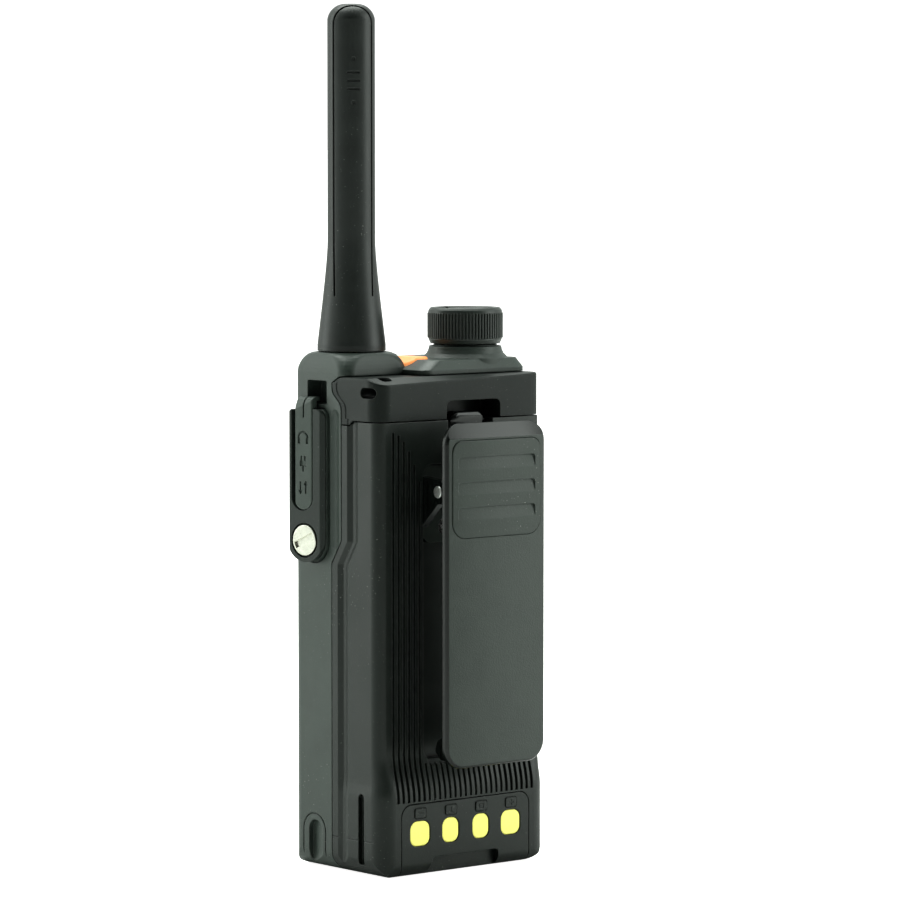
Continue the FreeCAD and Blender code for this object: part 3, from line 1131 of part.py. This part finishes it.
def main():
    """Build every sub-part and write it to its own file."""
    os.makedirs("parts", exist_ok=True)
    shapes = {name: make() for name, make in PARTS.items()}
    for name in FRONT_KEYS:
        if name != "menu_key":
            shapes[name] = front_key(name)
    for name in SIDE_KEYS:
        shapes[name] = side_key(name)
    for name, shape in shapes.items():
        if not shape.isValid() or not shape.Solids:
            print("check", name, "valid", shape.isValid(), "solids", len(shape.Solids))
        shape.exportStep("parts/%s.step" % name)
    print(len(shapes), "sub-parts written")


main()
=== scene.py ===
"""Looks of a portable two-way radio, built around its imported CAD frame. Lengths are in metres."""

import json
import math

import bmesh
import bpy
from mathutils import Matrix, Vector


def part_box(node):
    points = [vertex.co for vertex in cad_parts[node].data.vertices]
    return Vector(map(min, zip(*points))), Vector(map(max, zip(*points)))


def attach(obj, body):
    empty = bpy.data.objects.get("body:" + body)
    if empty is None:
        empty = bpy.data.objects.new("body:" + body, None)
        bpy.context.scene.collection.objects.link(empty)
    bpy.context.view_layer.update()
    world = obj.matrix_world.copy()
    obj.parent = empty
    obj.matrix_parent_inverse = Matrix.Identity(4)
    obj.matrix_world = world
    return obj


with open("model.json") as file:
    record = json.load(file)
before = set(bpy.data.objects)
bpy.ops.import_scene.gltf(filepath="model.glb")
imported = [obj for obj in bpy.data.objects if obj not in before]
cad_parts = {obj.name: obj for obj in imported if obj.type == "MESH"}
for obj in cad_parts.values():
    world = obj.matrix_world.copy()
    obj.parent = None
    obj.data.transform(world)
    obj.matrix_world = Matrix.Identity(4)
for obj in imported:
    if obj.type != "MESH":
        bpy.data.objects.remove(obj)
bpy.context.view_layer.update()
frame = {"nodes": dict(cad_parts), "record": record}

MM = 0.001
scene = bpy.context.scene
nodes = frame["nodes"]

# ---------------------------------------------------------------- camera, floor and light
# Azimuths run from the back's normal (+Y) towards the accessory side (+X). All angles are in degrees.
TARGET = Vector((-6.53, 5.45, 105.22)) * MM      # the camera looks here
VIEW_AZIMUTH, VIEW_ELEVATION = 39.84, 4.15
VIEW_DISTANCE = 1.15
LENS = 177.88
DIM_AZIMUTH, DIM_ELEVATION = 34.0, 8.0    # the studio is darkest here, and pale outside a cone round it
DIM_EDGE, DIM_MIDDLE = 0.12, 0.95         # cosine of the angle off it where the fall starts and ends
AROUND, DIM_SIDE = 0.80, 0.02             # strength of the light outside the cone and at its middle
SEEN_STRENGTH = 1.05                      # strength of the white that the camera sees behind the radio
STUDIO_TINT = (0.94, 1.0, 0.955)          # faint green of the studio's light
LIGHT_TARGET = Vector((0, 0, 100)) * MM
FLOOR_REACH = 30.0
FLOOR_GLOW = 0.75                         # added where the camera sees the floor, so that it stays white

# Name, azimuth, elevation, distance, size and power in watts.
SOFT_BOXES = (
    ("soft_left", 142, 14, 1.1, (0.55, 1.2), 3.8),
    ("soft_right", -46, 14, 1.1, (0.55, 1.2), 4.5),
    ("soft_top", 200, 72, 1.2, (1.2, 1.0), 15),
)


def direction(azimuth, elevation):
    """Unit vector from the radio, at this azimuth from +Y towards +X and this elevation."""
    a, e = math.radians(azimuth), math.radians(elevation)
    return Vector((math.sin(a) * math.cos(e), math.cos(a) * math.cos(e), math.sin(e)))


def aim(obj, place, target):
    """Put a camera or light at a place and turn it towards the target."""
    obj.location = place
    obj.rotation_euler = (target - place).to_track_quat("-Z", "Y").to_euler()


def add_camera():
    """Camera at the photograph's viewing angle."""
    data = bpy.data.cameras.new("camera")
    data.sensor_width = 36.0
    data.lens = LENS
    data.clip_start, data.clip_end = 0.05, 60.0
    camera = bpy.data.objects.new("camera", data)
    scene.collection.objects.link(camera)
    aim(camera, TARGET + direction(VIEW_AZIMUTH, VIEW_ELEVATION) * VIEW_DISTANCE, TARGET)
    scene.camera = camera


def add_light(name, azimuth, elevation, distance, size, power):
    """Rectangular soft box aimed at the radio's middle."""
    data = bpy.data.lights.new(name, "AREA")
    data.shape = "RECTANGLE"
    data.size, data.size_y = size
    data.energy = power
    data.color = STUDIO_TINT
    light = bpy.data.objects.new(name, data)
    scene.collection.objects.link(light)
    aim(light, LIGHT_TARGET + direction(azimuth, elevation) * distance, LIGHT_TARGET)


def add_world():
    """Pale studio, dimmer on the side that the camera looks from; the camera itself sees plain white."""
    world = bpy.data.worlds.new("studio")
    world.use_nodes = True
    scene.world = world
    tree = world.node_tree
    background = tree.nodes["Background"]
    coords = tree.nodes.new("ShaderNodeTexCoord")
    facing = tree.nodes.new("ShaderNodeVectorMath")
    facing.operation = "DOT_PRODUCT"
    facing.inputs[1].default_value = direction(DIM_AZIMUTH, DIM_ELEVATION)
    tree.links.new(coords.outputs["Generated"], facing.inputs[0])
    dim = tree.nodes.new("ShaderNodeMapRange")
    dim.interpolation_type = "SMOOTHSTEP"
    for socket, value in zip(dim.inputs[1:5], (DIM_EDGE, DIM_MIDDLE, AROUND, DIM_SIDE)):
        socket.default_value = value
    tree.links.new(facing.outputs["Value"], dim.inputs[0])
    path = tree.nodes.new("ShaderNodeLightPath")
    seen = tree.nodes.new("ShaderNodeMix")
    tree.links.new(path.outputs["Is Camera Ray"], seen.inputs[0])
    tree.links.new(dim.outputs[0], seen.inputs[2])
    seen.inputs[3].default_value = SEEN_STRENGTH
    tree.links.new(seen.outputs[0], background.inputs["Strength"])
    tint = tree.nodes.new("ShaderNodeMix")
    tint.data_type = "RGBA"
    tree.links.new(path.outputs["Is Camera Ray"], tint.inputs[0])
    tint.inputs[6].default_value = (*STUDIO_TINT, 1)
    tint.inputs[7].default_value = (1, 1, 1, 1)
    tree.links.new(tint.outputs[2], background.inputs["Color"])


# ---------------------------------------------------------------- node helpers
class Shader:
    """One material's node tree, with short calls for the nodes used again and again."""

    def __init__(self, name):
        self.material = bpy.data.materials.new(name)
        self.material.use_nodes = True
        self.tree = self.material.node_tree
        self.surface = self.tree.nodes["Principled BSDF"]
        self.coords = self.tree.nodes.new("ShaderNodeTexCoord").outputs["Object"]

    def add(self, kind, **settings):
        """New node with these attributes."""
        node = self.tree.nodes.new(kind)
        for key, value in settings.items():
            setattr(node, key, value)
        return node

    def join(self, socket_out, socket_in):
        """Link an output to an input."""
        self.tree.links.new(socket_out, socket_in)

    def set(self, **values):
        """Plain values on the shader's own sockets; names use _ for a space."""
        for key, value in values.items():
            self.surface.inputs[key.replace("_", " ")].default_value = value

    def stretched(self, scale, turn=(0, 0, 0)):
        """Object coordinates, turned and scaled per axis."""
        mapping = self.add("ShaderNodeMapping")
        mapping.inputs["Rotation"].default_value = turn
        mapping.inputs["Scale"].default_value = scale
        self.join(self.coords, mapping.inputs["Vector"])
        return mapping.outputs["Vector"]

    def noise(self, size, detail=2.0, coords=None):
        """Noise whose features are about this size, in millimetres."""
        node = self.add("ShaderNodeTexNoise")
        node.inputs["Scale"].default_value = 1.0 / (size * MM)
        node.inputs["Detail"].default_value = detail
        self.join(coords or self.coords, node.inputs["Vector"])
        return node.outputs[0]

    def cells(self, size, feature="F1"):
        """Voronoi distance with cells of this size, in millimetres."""
        node = self.add("ShaderNodeTexVoronoi", feature=feature)
        node.inputs["Scale"].default_value = 1.0 / (size * MM)
        self.join(self.coords, node.inputs["Vector"])
        return node.outputs["Distance"]

    def between(self, value, low, high, start, end):
        """Value in low..high mapped to start..end, held at the ends."""
        node = self.add("ShaderNodeMapRange")
        for socket, number in zip(node.inputs[1:5], (low, high, start, end)):
            socket.default_value = number
        self.join(value, node.inputs[0])
        return node.outputs[0]

    def maths(self, operation, a, b):
        """Two-value arithmetic; a and b are sockets or numbers."""
        node = self.add("ShaderNodeMath", operation=operation)
        for socket, value in zip(node.inputs, (a, b)):
            if isinstance(value, (int, float)):
                socket.default_value = value
            else:
                self.join(value, socket)
        return node.outputs[0]

    def mixed(self, share, a, b):
        """Colour a turning into colour b with share; a and b are sockets or (r, g, b)."""
        node = self.add("ShaderNodeMix", data_type="RGBA")
        for socket, value in ((node.inputs[6], a), (node.inputs[7], b)):
            if isinstance(value, tuple):
                socket.default_value = (*value, 1)
            else:
                self.join(value, socket)
        self.join(share, node.inputs[0])
        return node.outputs[2]

    def rounded(self, width):
        """Normal that turns smoothly over each edge, within this width in millimetres."""
        soft = self.add("ShaderNodeBevel", samples=6)
        soft.inputs["Radius"].default_value = width * MM
        return soft.outputs["Normal"]

    def edges(self, soft):
        """1 at sharp edges and 0 on flats, from how far the rounded normal leaves the true one."""
        flat = self.add("ShaderNodeNewGeometry")
        dot = self.add("ShaderNodeVectorMath", operation="DOT_PRODUCT")
        self.join(soft, dot.inputs[0])
        self.join(flat.outputs["Normal"], dot.inputs[1])
        return self.between(dot.outputs["Value"], 0.96, 0.72, 0.0, 1.0)

    def bump(self, height, depth, normal=None):
        """Bump of this depth in millimetres, on top of another normal."""
        node = self.add("ShaderNodeBump")
        node.inputs["Distance"].default_value = depth * MM
        node.inputs["Strength"].default_value = 1.0
        self.join(height, node.inputs["Height"])
        if normal is not None:
            self.join(normal, node.inputs["Normal"])
        return node.outputs["Normal"]

    def crowned(self, half_width, tilt, normal):
        """Normal of a face slightly crowned across X: this tilt, in degrees, at half_width millimetres."""
        split = self.add("ShaderNodeSeparateXYZ")
        self.join(self.coords, split.inputs[0])
        square = self.maths("POWER", self.maths("ABSOLUTE", split.outputs["X"], 0.0), 2.0)
        fall = -math.tan(math.radians(tilt)) / (2 * half_width * MM)
        return self.bump(self.maths("MULTIPLY", square, fall), 1 / MM, normal)

    def finish(self, colour, roughness, normal):
        """Join these sockets to the shader and return the material."""
        for socket, name in ((colour, "Base Color"), (roughness, "Roughness"), (normal, "Normal")):
            self.join(socket, self.surface.inputs[name])
        return self.material


EDGE_WEAR_AND_HIGHLIGHT = (0.13, 0.14, 0.132)            # plastic rubbed smooth along an edge, and lighter there partly as wear and partly as a painted highlight
DUST = (0.42, 0.43, 0.40)
CLIP_CROWN = 8.0                          # the clip's face and pad are crowned by this many degrees
CROWN_HALF_WIDTH = 16.0                   # at this distance from the middle, in millimetres


def scaled(colour, factor):
    """Colour made darker or lighter."""
    return tuple(min(1.0, c * factor) for c in colour)


def moulded(name, colour, roughness, grain=0.30, depth=0.014, round_edge=0.28, wear_and_highlight=0.6, dust=0.7,
            specular=0.5, crown=0.0):
    """Moulded plastic or rubber: spark-eroded grain, slight mottling, polished edges lightened partly by
    wear and partly as a painted highlight, and a little dust.
    """
    s = Shader(name)
    s.set(Specular_IOR_Level=specular)
    soft = s.rounded(round_edge)
    edge = s.edges(soft)
    mottle = s.noise(7.0, 4.0)
    patch = s.noise(28.0, 3.0)
    fine = s.noise(grain, 3.0)
    pits = s.cells(grain * 1.3)
    rubbed_and_highlit = s.maths("MULTIPLY", edge, s.between(s.noise(2.2, 3.0), 0.35, 0.65, 0.25, 1.0))
    base = s.mixed(s.between(mottle, 0.3, 0.7, 0.0, 1.0), scaled(colour, 0.88), scaled(colour, 1.14))
    # Edges turn lighter: partly wear, partly a painted highlight.
    base = s.mixed(s.maths("MULTIPLY", rubbed_and_highlit, wear_and_highlight), base, EDGE_WEAR_AND_HIGHLIGHT)
    speck = s.between(s.noise(0.40, 1.0), 0.745, 0.78, 0.0, 1.0)
    speck = s.maths("MULTIPLY", speck, s.between(patch, 0.45, 0.62, 0.15 * dust, dust))
    base = s.mixed(speck, base, DUST)
    rough = s.maths("ADD", s.between(mottle, 0.25, 0.75, roughness - 0.035, roughness + 0.035),
                    s.between(patch, 0.35, 0.65, -0.03, 0.03))
    rough = s.maths("SUBTRACT", rough, s.maths("MULTIPLY", rubbed_and_highlit, 0.20 * wear_and_highlight))
    height = s.maths("ADD", s.maths("MULTIPLY", pits, 0.6), fine)
    if crown:
        soft = s.crowned(CROWN_HALF_WIDTH, crown, soft)
    return s.finish(base, rough, s.bump(height, depth, soft))


def metal(name, colour, roughness, stretch=(1, 1, 1), turn=(0, 0, 0), streak=0.12, depth=0.004):
    """Metal with fine brushing along one direction, or an even satin where stretch is 1 all round."""
    s = Shader(name)
    s.set(Metallic=1.0)
    lines = s.noise(streak, 3.0, s.stretched(stretch, turn))
    stain = s.noise(1.8, 4.0)
    base = s.mixed(s.between(stain, 0.35, 0.7, 0.0, 1.0), scaled(colour, 0.9), scaled(colour, 1.06))
    base = s.mixed(s.between(lines, 0.35, 0.65, 0.0, 0.5), base, scaled(colour, 0.72))
    rough = s.between(lines, 0.3, 0.7, roughness - 0.06, roughness + 0.08)
    return s.finish(base, rough, s.bump(lines, depth, s.rounded(0.12)))


# ---------------------------------------------------------------- materials
def clip_plastic():
    """Clip: grained face, polished sides and slopes; the sides and slopes are coloured near-black as
    painted shade, and the edges lighter as a painted highlight.
    """
    s = Shader("clip_plastic")
    soft = s.rounded(0.25)
    normal = s.add("ShaderNodeNewGeometry").outputs["Normal"]
    split = s.add("ShaderNodeSeparateXYZ")
    s.join(normal, split.inputs[0])
    face = s.between(split.outputs["Y"], 0.93, 0.985, 0.0, 1.0)
    mottle = s.noise(9.0, 4.0)
    grain = s.noise(0.30, 3.0)
    grained = s.mixed(s.between(mottle, 0.3, 0.7, 0.0, 1.0), (0.036, 0.046, 0.040), (0.046, 0.057, 0.050))
    # Near-black on the sides and slopes, grained colour on the face: the dark sides are painted shade.
    base = s.mixed(face, (0.006, 0.008, 0.007), grained)
    # Lighter colour along the edges: a painted highlight.
    base = s.mixed(s.maths("MULTIPLY", s.edges(soft), 0.35), base, (0.075, 0.08, 0.075))
    rough = s.maths("ADD", s.between(face, 0.0, 1.0, 0.20, 0.43), s.between(mottle, 0.3, 0.7, -0.03, 0.03))
    depth = s.maths("MULTIPLY", s.maths("ADD", grain, s.cells(0.4)), s.between(face, 0.0, 1.0, 0.12, 1.0))
    return s.finish(base, rough, s.bump(depth, 0.028, s.crowned(CROWN_HALF_WIDTH, CLIP_CROWN, soft)))


def orange_button():
    """Orange plastic with a painted glow that lightens it though it is no lamp, and lighter edges as a
    painted highlight.
    """
    s = Shader("orange_button")
    # The emission is a painted glow.
    s.set(Subsurface_Weight=0.25, Subsurface_Scale=0.002, Coat_Weight=0.2, Coat_Roughness=0.3,
          Emission_Color=(1.0, 0.42, 0.16, 1), Emission_Strength=0.60)
    soft = s.rounded(0.25)
    base = s.mixed(s.between(s.noise(2.5, 3.0), 0.3, 0.7, 0.0, 1.0), (0.93, 0.25, 0.045), (1.0, 0.32, 0.07))
    # Lighter colour along the edges: a painted highlight.
    base = s.mixed(s.maths("MULTIPLY", s.edges(soft), 0.4), base, (0.95, 0.42, 0.16))
    rough = s.between(s.noise(0.8), 0.3, 0.7, 0.36, 0.46)
    return s.finish(base, rough, s.bump(s.noise(0.25, 3.0), 0.010, soft))


def contact_plate():
    """Bright yellow plate of the charging contacts, a little scuffed, lightened by a painted glow."""
    s = Shader("gold_contacts")
    # The emission is a painted glow that brightens the plate.
    s.set(Metallic=0.2, Emission_Color=(1.0, 0.95, 0.22, 1), Emission_Strength=0.22)
    scuff = s.noise(0.5, 5.0, s.stretched((1, 1, 5)))
    base = s.mixed(s.between(scuff, 0.45, 0.75, 0.0, 1.0), (1.0, 1.0, 0.27), (0.92, 0.88, 0.20))
    rough = s.between(scuff, 0.3, 0.7, 0.26, 0.42)
    return s.finish(base, rough, s.bump(scuff, 0.006, s.rounded(0.2)))


def window_glass():
    """Tinted clear plastic of the display window."""
    s = Shader("window")
    s.set(Transmission_Weight=0.82, IOR=1.49, Coat_Weight=0.5, Coat_Roughness=0.03)
    tone = s.between(s.noise(12.0, 2.0), 0.3, 0.7, 0.0, 1.0)
    base = s.mixed(tone, (0.30, 0.32, 0.33), (0.36, 0.38, 0.39))
    smear = s.noise(6.0, 5.0)
    return s.finish(base, s.between(smear, 0.4, 0.75, 0.02, 0.10), s.bump(smear, 0.002))


def display_panel():
    """Liquid-crystal panel: grey-green glass in a black frame."""
    s = Shader("display")
    split = s.add("ShaderNodeSeparateXYZ")
    s.join(s.coords, split.inputs[0])
    frame_y, glass_y = -15.9, -16.2
    glass = s.between(split.outputs["Y"], frame_y * MM, glass_y * MM, 0.0, 1.0)
    patch = s.between(s.noise(15.0, 2.0), 0.3, 0.7, 0.0, 1.0)
    tone = s.mixed(patch, (0.10, 0.13, 0.11), (0.13, 0.16, 0.13))
    grid = s.noise(0.12, 1.0)
    base = s.mixed(glass, (0.012, 0.012, 0.013), tone)
    return s.finish(base, s.between(grid, 0.3, 0.7, 0.22, 0.30), s.bump(grid, 0.003))


def lamp_lens():
    """Milky light guide."""
    s = Shader("lamp_lens")
    s.set(Subsurface_Weight=0.6, Subsurface_Scale=0.002, IOR=1.47)
    base = s.mixed(s.between(s.noise(1.5), 0.3, 0.7, 0.0, 1.0), (0.62, 0.63, 0.60), (0.72, 0.73, 0.70))
    return s.finish(base, s.between(s.noise(0.6), 0.3, 0.7, 0.18, 0.26), s.bump(s.noise(0.4), 0.003))


def dust_cloth():
    """Woven cloth behind the loudspeaker slots."""
    s = Shader("dust_cloth")
    s.set(Sheen_Weight=0.2)
    waves = []
    for axis in ("X", "Z"):
        wave = s.add("ShaderNodeTexWave", bands_direction=axis)
        wave.inputs["Scale"].default_value = 1.0 / (2.2 * MM)
        wave.inputs["Distortion"].default_value = 0.3
        s.join(s.coords, wave.inputs["Vector"])
        waves.append(wave.outputs["Fac"])
    weave = s.maths("MAXIMUM", *waves)
    base = s.mixed(weave, (0.008, 0.008, 0.008), (0.035, 0.036, 0.036))
    return s.finish(base, s.between(weave, 0, 1, 0.95, 0.75), s.bump(weave, 0.06))


def circuit_board():
    """Solder mask with traces under it."""
    s = Shader("board")
    s.set(Coat_Weight=0.25, Coat_Roughness=0.2)
    traces = s.cells(2.4, "DISTANCE_TO_EDGE")
    line = s.between(traces, 0.03, 0.06, 1.0, 0.0)
    base = s.mixed(line, (0.015, 0.085, 0.040), (0.045, 0.17, 0.075))
    return s.finish(base, s.between(s.noise(3.0), 0.3, 0.7, 0.32, 0.44), s.bump(line, 0.02))


def wrapped_cell():
    """Blue film round the cells."""
    s = Shader("cell_wrap")
    crease = s.noise(5.0, 6.0, s.stretched((1, 1, 0.25)))
    base = s.mixed(s.between(crease, 0.35, 0.65, 0.0, 1.0), (0.03, 0.10, 0.28), (0.05, 0.15, 0.36))
    rough = s.between(crease, 0.3, 0.7, 0.22, 0.36)
    return s.finish(base, rough, s.bump(crease, 0.05, s.rounded(0.3)))


MATERIALS = {
    "housing_plastic": lambda: moulded("housing_plastic", (0.046, 0.060, 0.052), 0.44, depth=0.016,
                                       round_edge=0.4),
    "battery_plastic": lambda: moulded("battery_plastic", (0.009, 0.014, 0.011), 0.41, grain=0.34,
                                       depth=0.020),
    "chassis_metal": lambda: metal("chassis_metal", (0.52, 0.53, 0.54), 0.42, streak=0.5, depth=0.02),
    "rubber_seal": lambda: moulded("rubber_seal", (0.035, 0.035, 0.035), 0.70, grain=0.5, wear_and_highlight=0.2),
    "steel": lambda: metal("steel", (0.66, 0.66, 0.64), 0.24, stretch=(0.08, 1, 1)),
    "window": window_glass,
    "display": display_panel,
    "lamp_lens": lamp_lens,
    "key_rubber": lambda: moulded("key_rubber", (0.040, 0.042, 0.041), 0.58, grain=0.22, depth=0.008),
    "board": circuit_board,
    "black_parts": lambda: moulded("black_parts", (0.035, 0.035, 0.036), 0.5, grain=0.4),
    "dust_cloth": dust_cloth,
    "gold_contacts": contact_plate,
    "brass": lambda: metal("brass", (0.74, 0.55, 0.25), 0.28, stretch=(1, 1, 0.2)),
    "orange_button": orange_button,
    "knob_plastic": lambda: moulded("knob_plastic", (0.034, 0.042, 0.037), 0.38, grain=0.24, depth=0.009),
    "antenna_rubber": lambda: moulded("antenna_rubber", (0.020, 0.024, 0.022), 0.40, grain=0.26,
                                      depth=0.009, dust=0.8),
    "cover_plastic": lambda: moulded("cover_plastic", (0.021, 0.028, 0.024), 0.46, grain=0.26, depth=0.012),
    "thumb_steel": lambda: metal("thumb_steel", (0.80, 0.80, 0.70), 0.30, stretch=(1, 0.06, 1),
                                 turn=(math.radians(-25), 0, 0), streak=0.10, depth=0.012),
    "cell_wrap": wrapped_cell,
    "latch_plastic": lambda: moulded("latch_plastic", (0.010, 0.011, 0.011), 0.14, grain=0.5,
                                     depth=0.003, wear_and_highlight=0.3),
    "clip_plastic": clip_plastic,
}


def dress_nodes():
    """Give every CAD node the material of its slot, and five nodes a finish of their own."""
    made = {slot: build() for slot, build in MATERIALS.items()}
    for part in frame["record"]["subparts"]:
        mesh = nodes[part["node"]].data
        mesh.materials.clear()
        mesh.materials.append(made[part["material_slot"]])
    own = {
        "port_flap": moulded("flap_rubber", (0.060, 0.077, 0.067), 0.50, grain=0.2, depth=0.006,
                             wear_and_highlight=0.3),
        "rear_cap": moulded("cap_plastic", (0.011, 0.015, 0.013), 0.42, grain=0.28, depth=0.016,
                            specular=0.3),
        "clip_pad": moulded("pad_plastic", (0.036, 0.047, 0.040), 0.42, grain=0.42, depth=0.024,
                            crown=CLIP_CROWN),
        "clip_pin": metal("pin_steel", (0.86, 0.87, 0.84), 0.42, stretch=(0.08, 1, 1)),
        "ptt_button": moulded("ptt_rubber", (0.030, 0.031, 0.031), 0.52, grain=0.24, depth=0.008),
    }
    for name, material in own.items():
        nodes[name].data.materials[0] = material


# ---------------------------------------------------------------- printed and lit pieces
def paint(name, colour, roughness, glow=0.0):
    """Thin printed ink, or a lit segment where glow is above 0."""
    s = Shader(name)
    s.set(Emission_Color=(*colour, 1), Emission_Strength=glow)
    patch = s.noise(0.5, 4.0)
    base = s.mixed(s.between(patch, 0.3, 0.7, 0.0, 1.0), colour, scaled(colour, 0.86))
    rough = s.between(patch, 0.3, 0.7, roughness - 0.04, roughness + 0.06)
    return s.finish(base, rough, s.bump(patch, 0.004))


def plate(name, corners, low, high, material, body):
    """Thin plate facing the front: corners (x, z) in millimetres, between these two places along Y."""
    mesh = bpy.data.meshes.new(name)
    shape = bmesh.new()
    ring = [shape.verts.new((x * MM, high * MM, z * MM)) for x, z in corners]
    face = shape.faces.new(ring)
    grown = bmesh.ops.extrude_face_region(shape, geom=[face])
    for item in grown["geom"]:
        if isinstance(item, bmesh.types.BMVert):
            item.co.y = low * MM
    bmesh.ops.recalc_face_normals(shape, faces=shape.faces)
    shape.to_mesh(mesh)
    shape.free()
    piece = bpy.data.objects.new(name, mesh)
    scene.collection.objects.link(piece)
    mesh.materials.append(material)
    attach(piece, body)


def bar(x0, x1, z0, z1, corner=0.0):
    """Outline of an upright rectangle; corner is the radius of its round corners, or 0 for sharp ones."""
    if not corner:
        return [(x0, z0), (x1, z0), (x1, z1), (x0, z1)]
    steps = 5
    outline = []
    left, right, low, high = x0 + corner, x1 - corner, z0 + corner, z1 - corner
    for x, z, start in ((right, low, -90), (right, high, 0), (left, high, 90), (left, low, 180)):
        for i in range(steps + 1):
            turn = math.radians(start + 90 * i / steps)
            outline.append((x + corner * math.cos(turn), z + corner * math.sin(turn)))
    return outline


def middle(node):
    """Centre (x, z) and front face of a node, in millimetres."""
    low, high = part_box(node)
    return (low[0] + high[0]) / 2 / MM, (low[2] + high[2]) / 2 / MM, low[1] / MM


def screen():
    """What the lit display shows: signal bars, a battery sign, a level meter and three menu rows."""
    x, z, face = middle("display_module")
    ink_front, ink_back = face - 0.06, face - 0.005
    left, right, top, bottom = x - 13.6, x + 13.6, z + 8.8, z - 8.0
    ink = paint("screen_dark", (0.012, 0.016, 0.014), 0.35)
    accent = paint("screen_accent", (0.05, 0.22, 0.30), 0.35, 0.25)
    shapes = []
    for i in range(4):
        start = left + i * 1.1
        shapes.append(("signal_%d" % i, bar(start, start + 0.75, top - 2.0, top - 1.4 + i * 0.45), ink))
    line = 0.22
    cell_left, cell_right = right - 4.2, right - 0.5
    side_low, side_high = top - 1.78, top - line
    shapes.append(("cell_top", bar(cell_left, cell_right, top - line, top), ink))
    shapes.append(("cell_foot", bar(cell_left, cell_right, top - 2.0, top - 2.0 + line), ink))
    shapes.append(("cell_left", bar(cell_left, cell_left + line, side_low, side_high), ink))
    shapes.append(("cell_right", bar(cell_right - line, cell_right, side_low, side_high), ink))
    shapes.append(("cell_tip", bar(cell_right, cell_right + 0.4, top - 1.4, top - 0.6), ink))
    for i in range(3):
        start = cell_left + 0.4 + i
        shapes.append(("cell_%d" % i, bar(start, start + 0.7, top - 1.6, top - 0.4), ink))
    shapes.append(("rule", bar(left, right, top - 3.0, top - 2.8), ink))
    for i in range(3):
        colour = accent if i == 0 else ink
        high = top - 4.0 - i * 3.4
        end = right - 4.0 - i * 3.1
        shapes.append(("row_%d" % i, bar(left + 3.4, end, high - 1.5, high - 0.3, 0.4), colour))
        shapes.append(("row_mark_%d" % i, bar(left, left + 2.0, high - 1.9, high + 0.1, 0.5), colour))
    for i in range(16):
        start = left + i * 1.72
        level = bottom + 0.6 + 1.0 * (i / 15) ** 1.5
        shapes.append(("level_%d" % i, bar(start, start + 1.1, bottom, level), accent if i < 10 else ink))
    for name, corners, material in shapes:
        plate("screen_" + name, corners, ink_front, ink_back, material, "radio")


PALE_PRINT = (0.62, 0.63, 0.62)
SIGN_COLOURS = {
    "key_upper_left": PALE_PRINT,
    "key_upper_right": PALE_PRINT,
    "key_lower_left": (0.10, 0.50, 0.16),
    "key_lower_right": (0.65, 0.07, 0.05),
}


def key_signs():
    """Generic signs printed on the front keys: four arrows on the menu key, a short bar on each other."""
    ink = paint("key_print", PALE_PRINT, 0.5)
    stands_out, sinks_in = 0.05, 0.1
    x, z, face = middle("menu_key")
    wider = 1.12                          # the menu key is wider than it is high
    for turn in range(4):
        a = math.radians(90 * turn)
        corners = []
        for u, v in ((-0.95, 4.3), (0.95, 4.3), (0.0, 5.35)):
            across = (u * math.cos(a) - v * math.sin(a)) * (wider if turn % 2 else 1.0)
            corners.append((x + across, z + u * math.sin(a) + v * math.cos(a)))
        plate("menu_arrow_%d" % turn, corners, face - stands_out, face + sinks_in, ink, "menu_key")
    for name, colour in SIGN_COLOURS.items():
        x, z, face = middle(name)
        corners = bar(x - 1.7, x + 1.7, z - 0.4, z + 0.4, 0.38)
        own = paint(name + "_print", colour, 0.5)
        plate(name + "_sign", corners, face - stands_out, face + sinks_in, own, name)


def knob_pointer():
    """White paint in the knob's pointer groove."""
    low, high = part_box("volume_knob")
    x, y = (low[0] + high[0]) / 2 / MM, (low[1] + high[1]) / 2 / MM
    bpy.ops.mesh.primitive_cube_add(size=1)
    piece = bpy.context.object
    piece.name = "knob_pointer"
    length, width, thick = 3.9, 0.8, 0.22
    for vertex in piece.data.vertices:
        vertex.co = Vector((vertex.co.x * width, vertex.co.y * length, vertex.co.z * thick)) * MM
    off_centre, below_top = 6.2, 0.82
    piece.location = Vector((x, y - off_centre, high[2] / MM - below_top)) * MM
    soften = piece.modifiers.new("soft_edge", "BEVEL")
    soften.width = 0.06 * MM
    soften.segments = 3
    piece.data.materials.append(paint("pointer_paint", (0.80, 0.80, 0.78), 0.45))
    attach(piece, "volume_knob")


def add_floor():
    """Plain pale floor."""
    r = FLOOR_REACH
    mesh = bpy.data.meshes.new("floor")
    mesh.from_pydata([(-r, -r, 0), (r, -r, 0), (r, r, 0), (-r, r, 0)], [], [(0, 1, 2, 3)])
    floor = bpy.data.objects.new("floor", mesh)
    scene.collection.objects.link(floor)
    s = Shader("floor")
    s.set(Base_Color=(0.80, 0.80, 0.79, 1), Roughness=0.8, Specular_IOR_Level=0.1,
          Emission_Color=(1, 1, 0.99, 1))
    seen = s.add("ShaderNodeLightPath").outputs["Is Camera Ray"]
    s.join(s.between(seen, 0, 1, 0.0, FLOOR_GLOW), s.surface.inputs["Emission Strength"])
    mesh.materials.append(s.material)


scene.view_settings.view_transform = "Standard"
scene.view_settings.look = "Medium High Contrast"
add_camera()
add_floor()
add_world()
for soft_box in SOFT_BOXES:
    add_light(*soft_box)
dress_nodes()
screen()
key_signs()
knob_pointer()
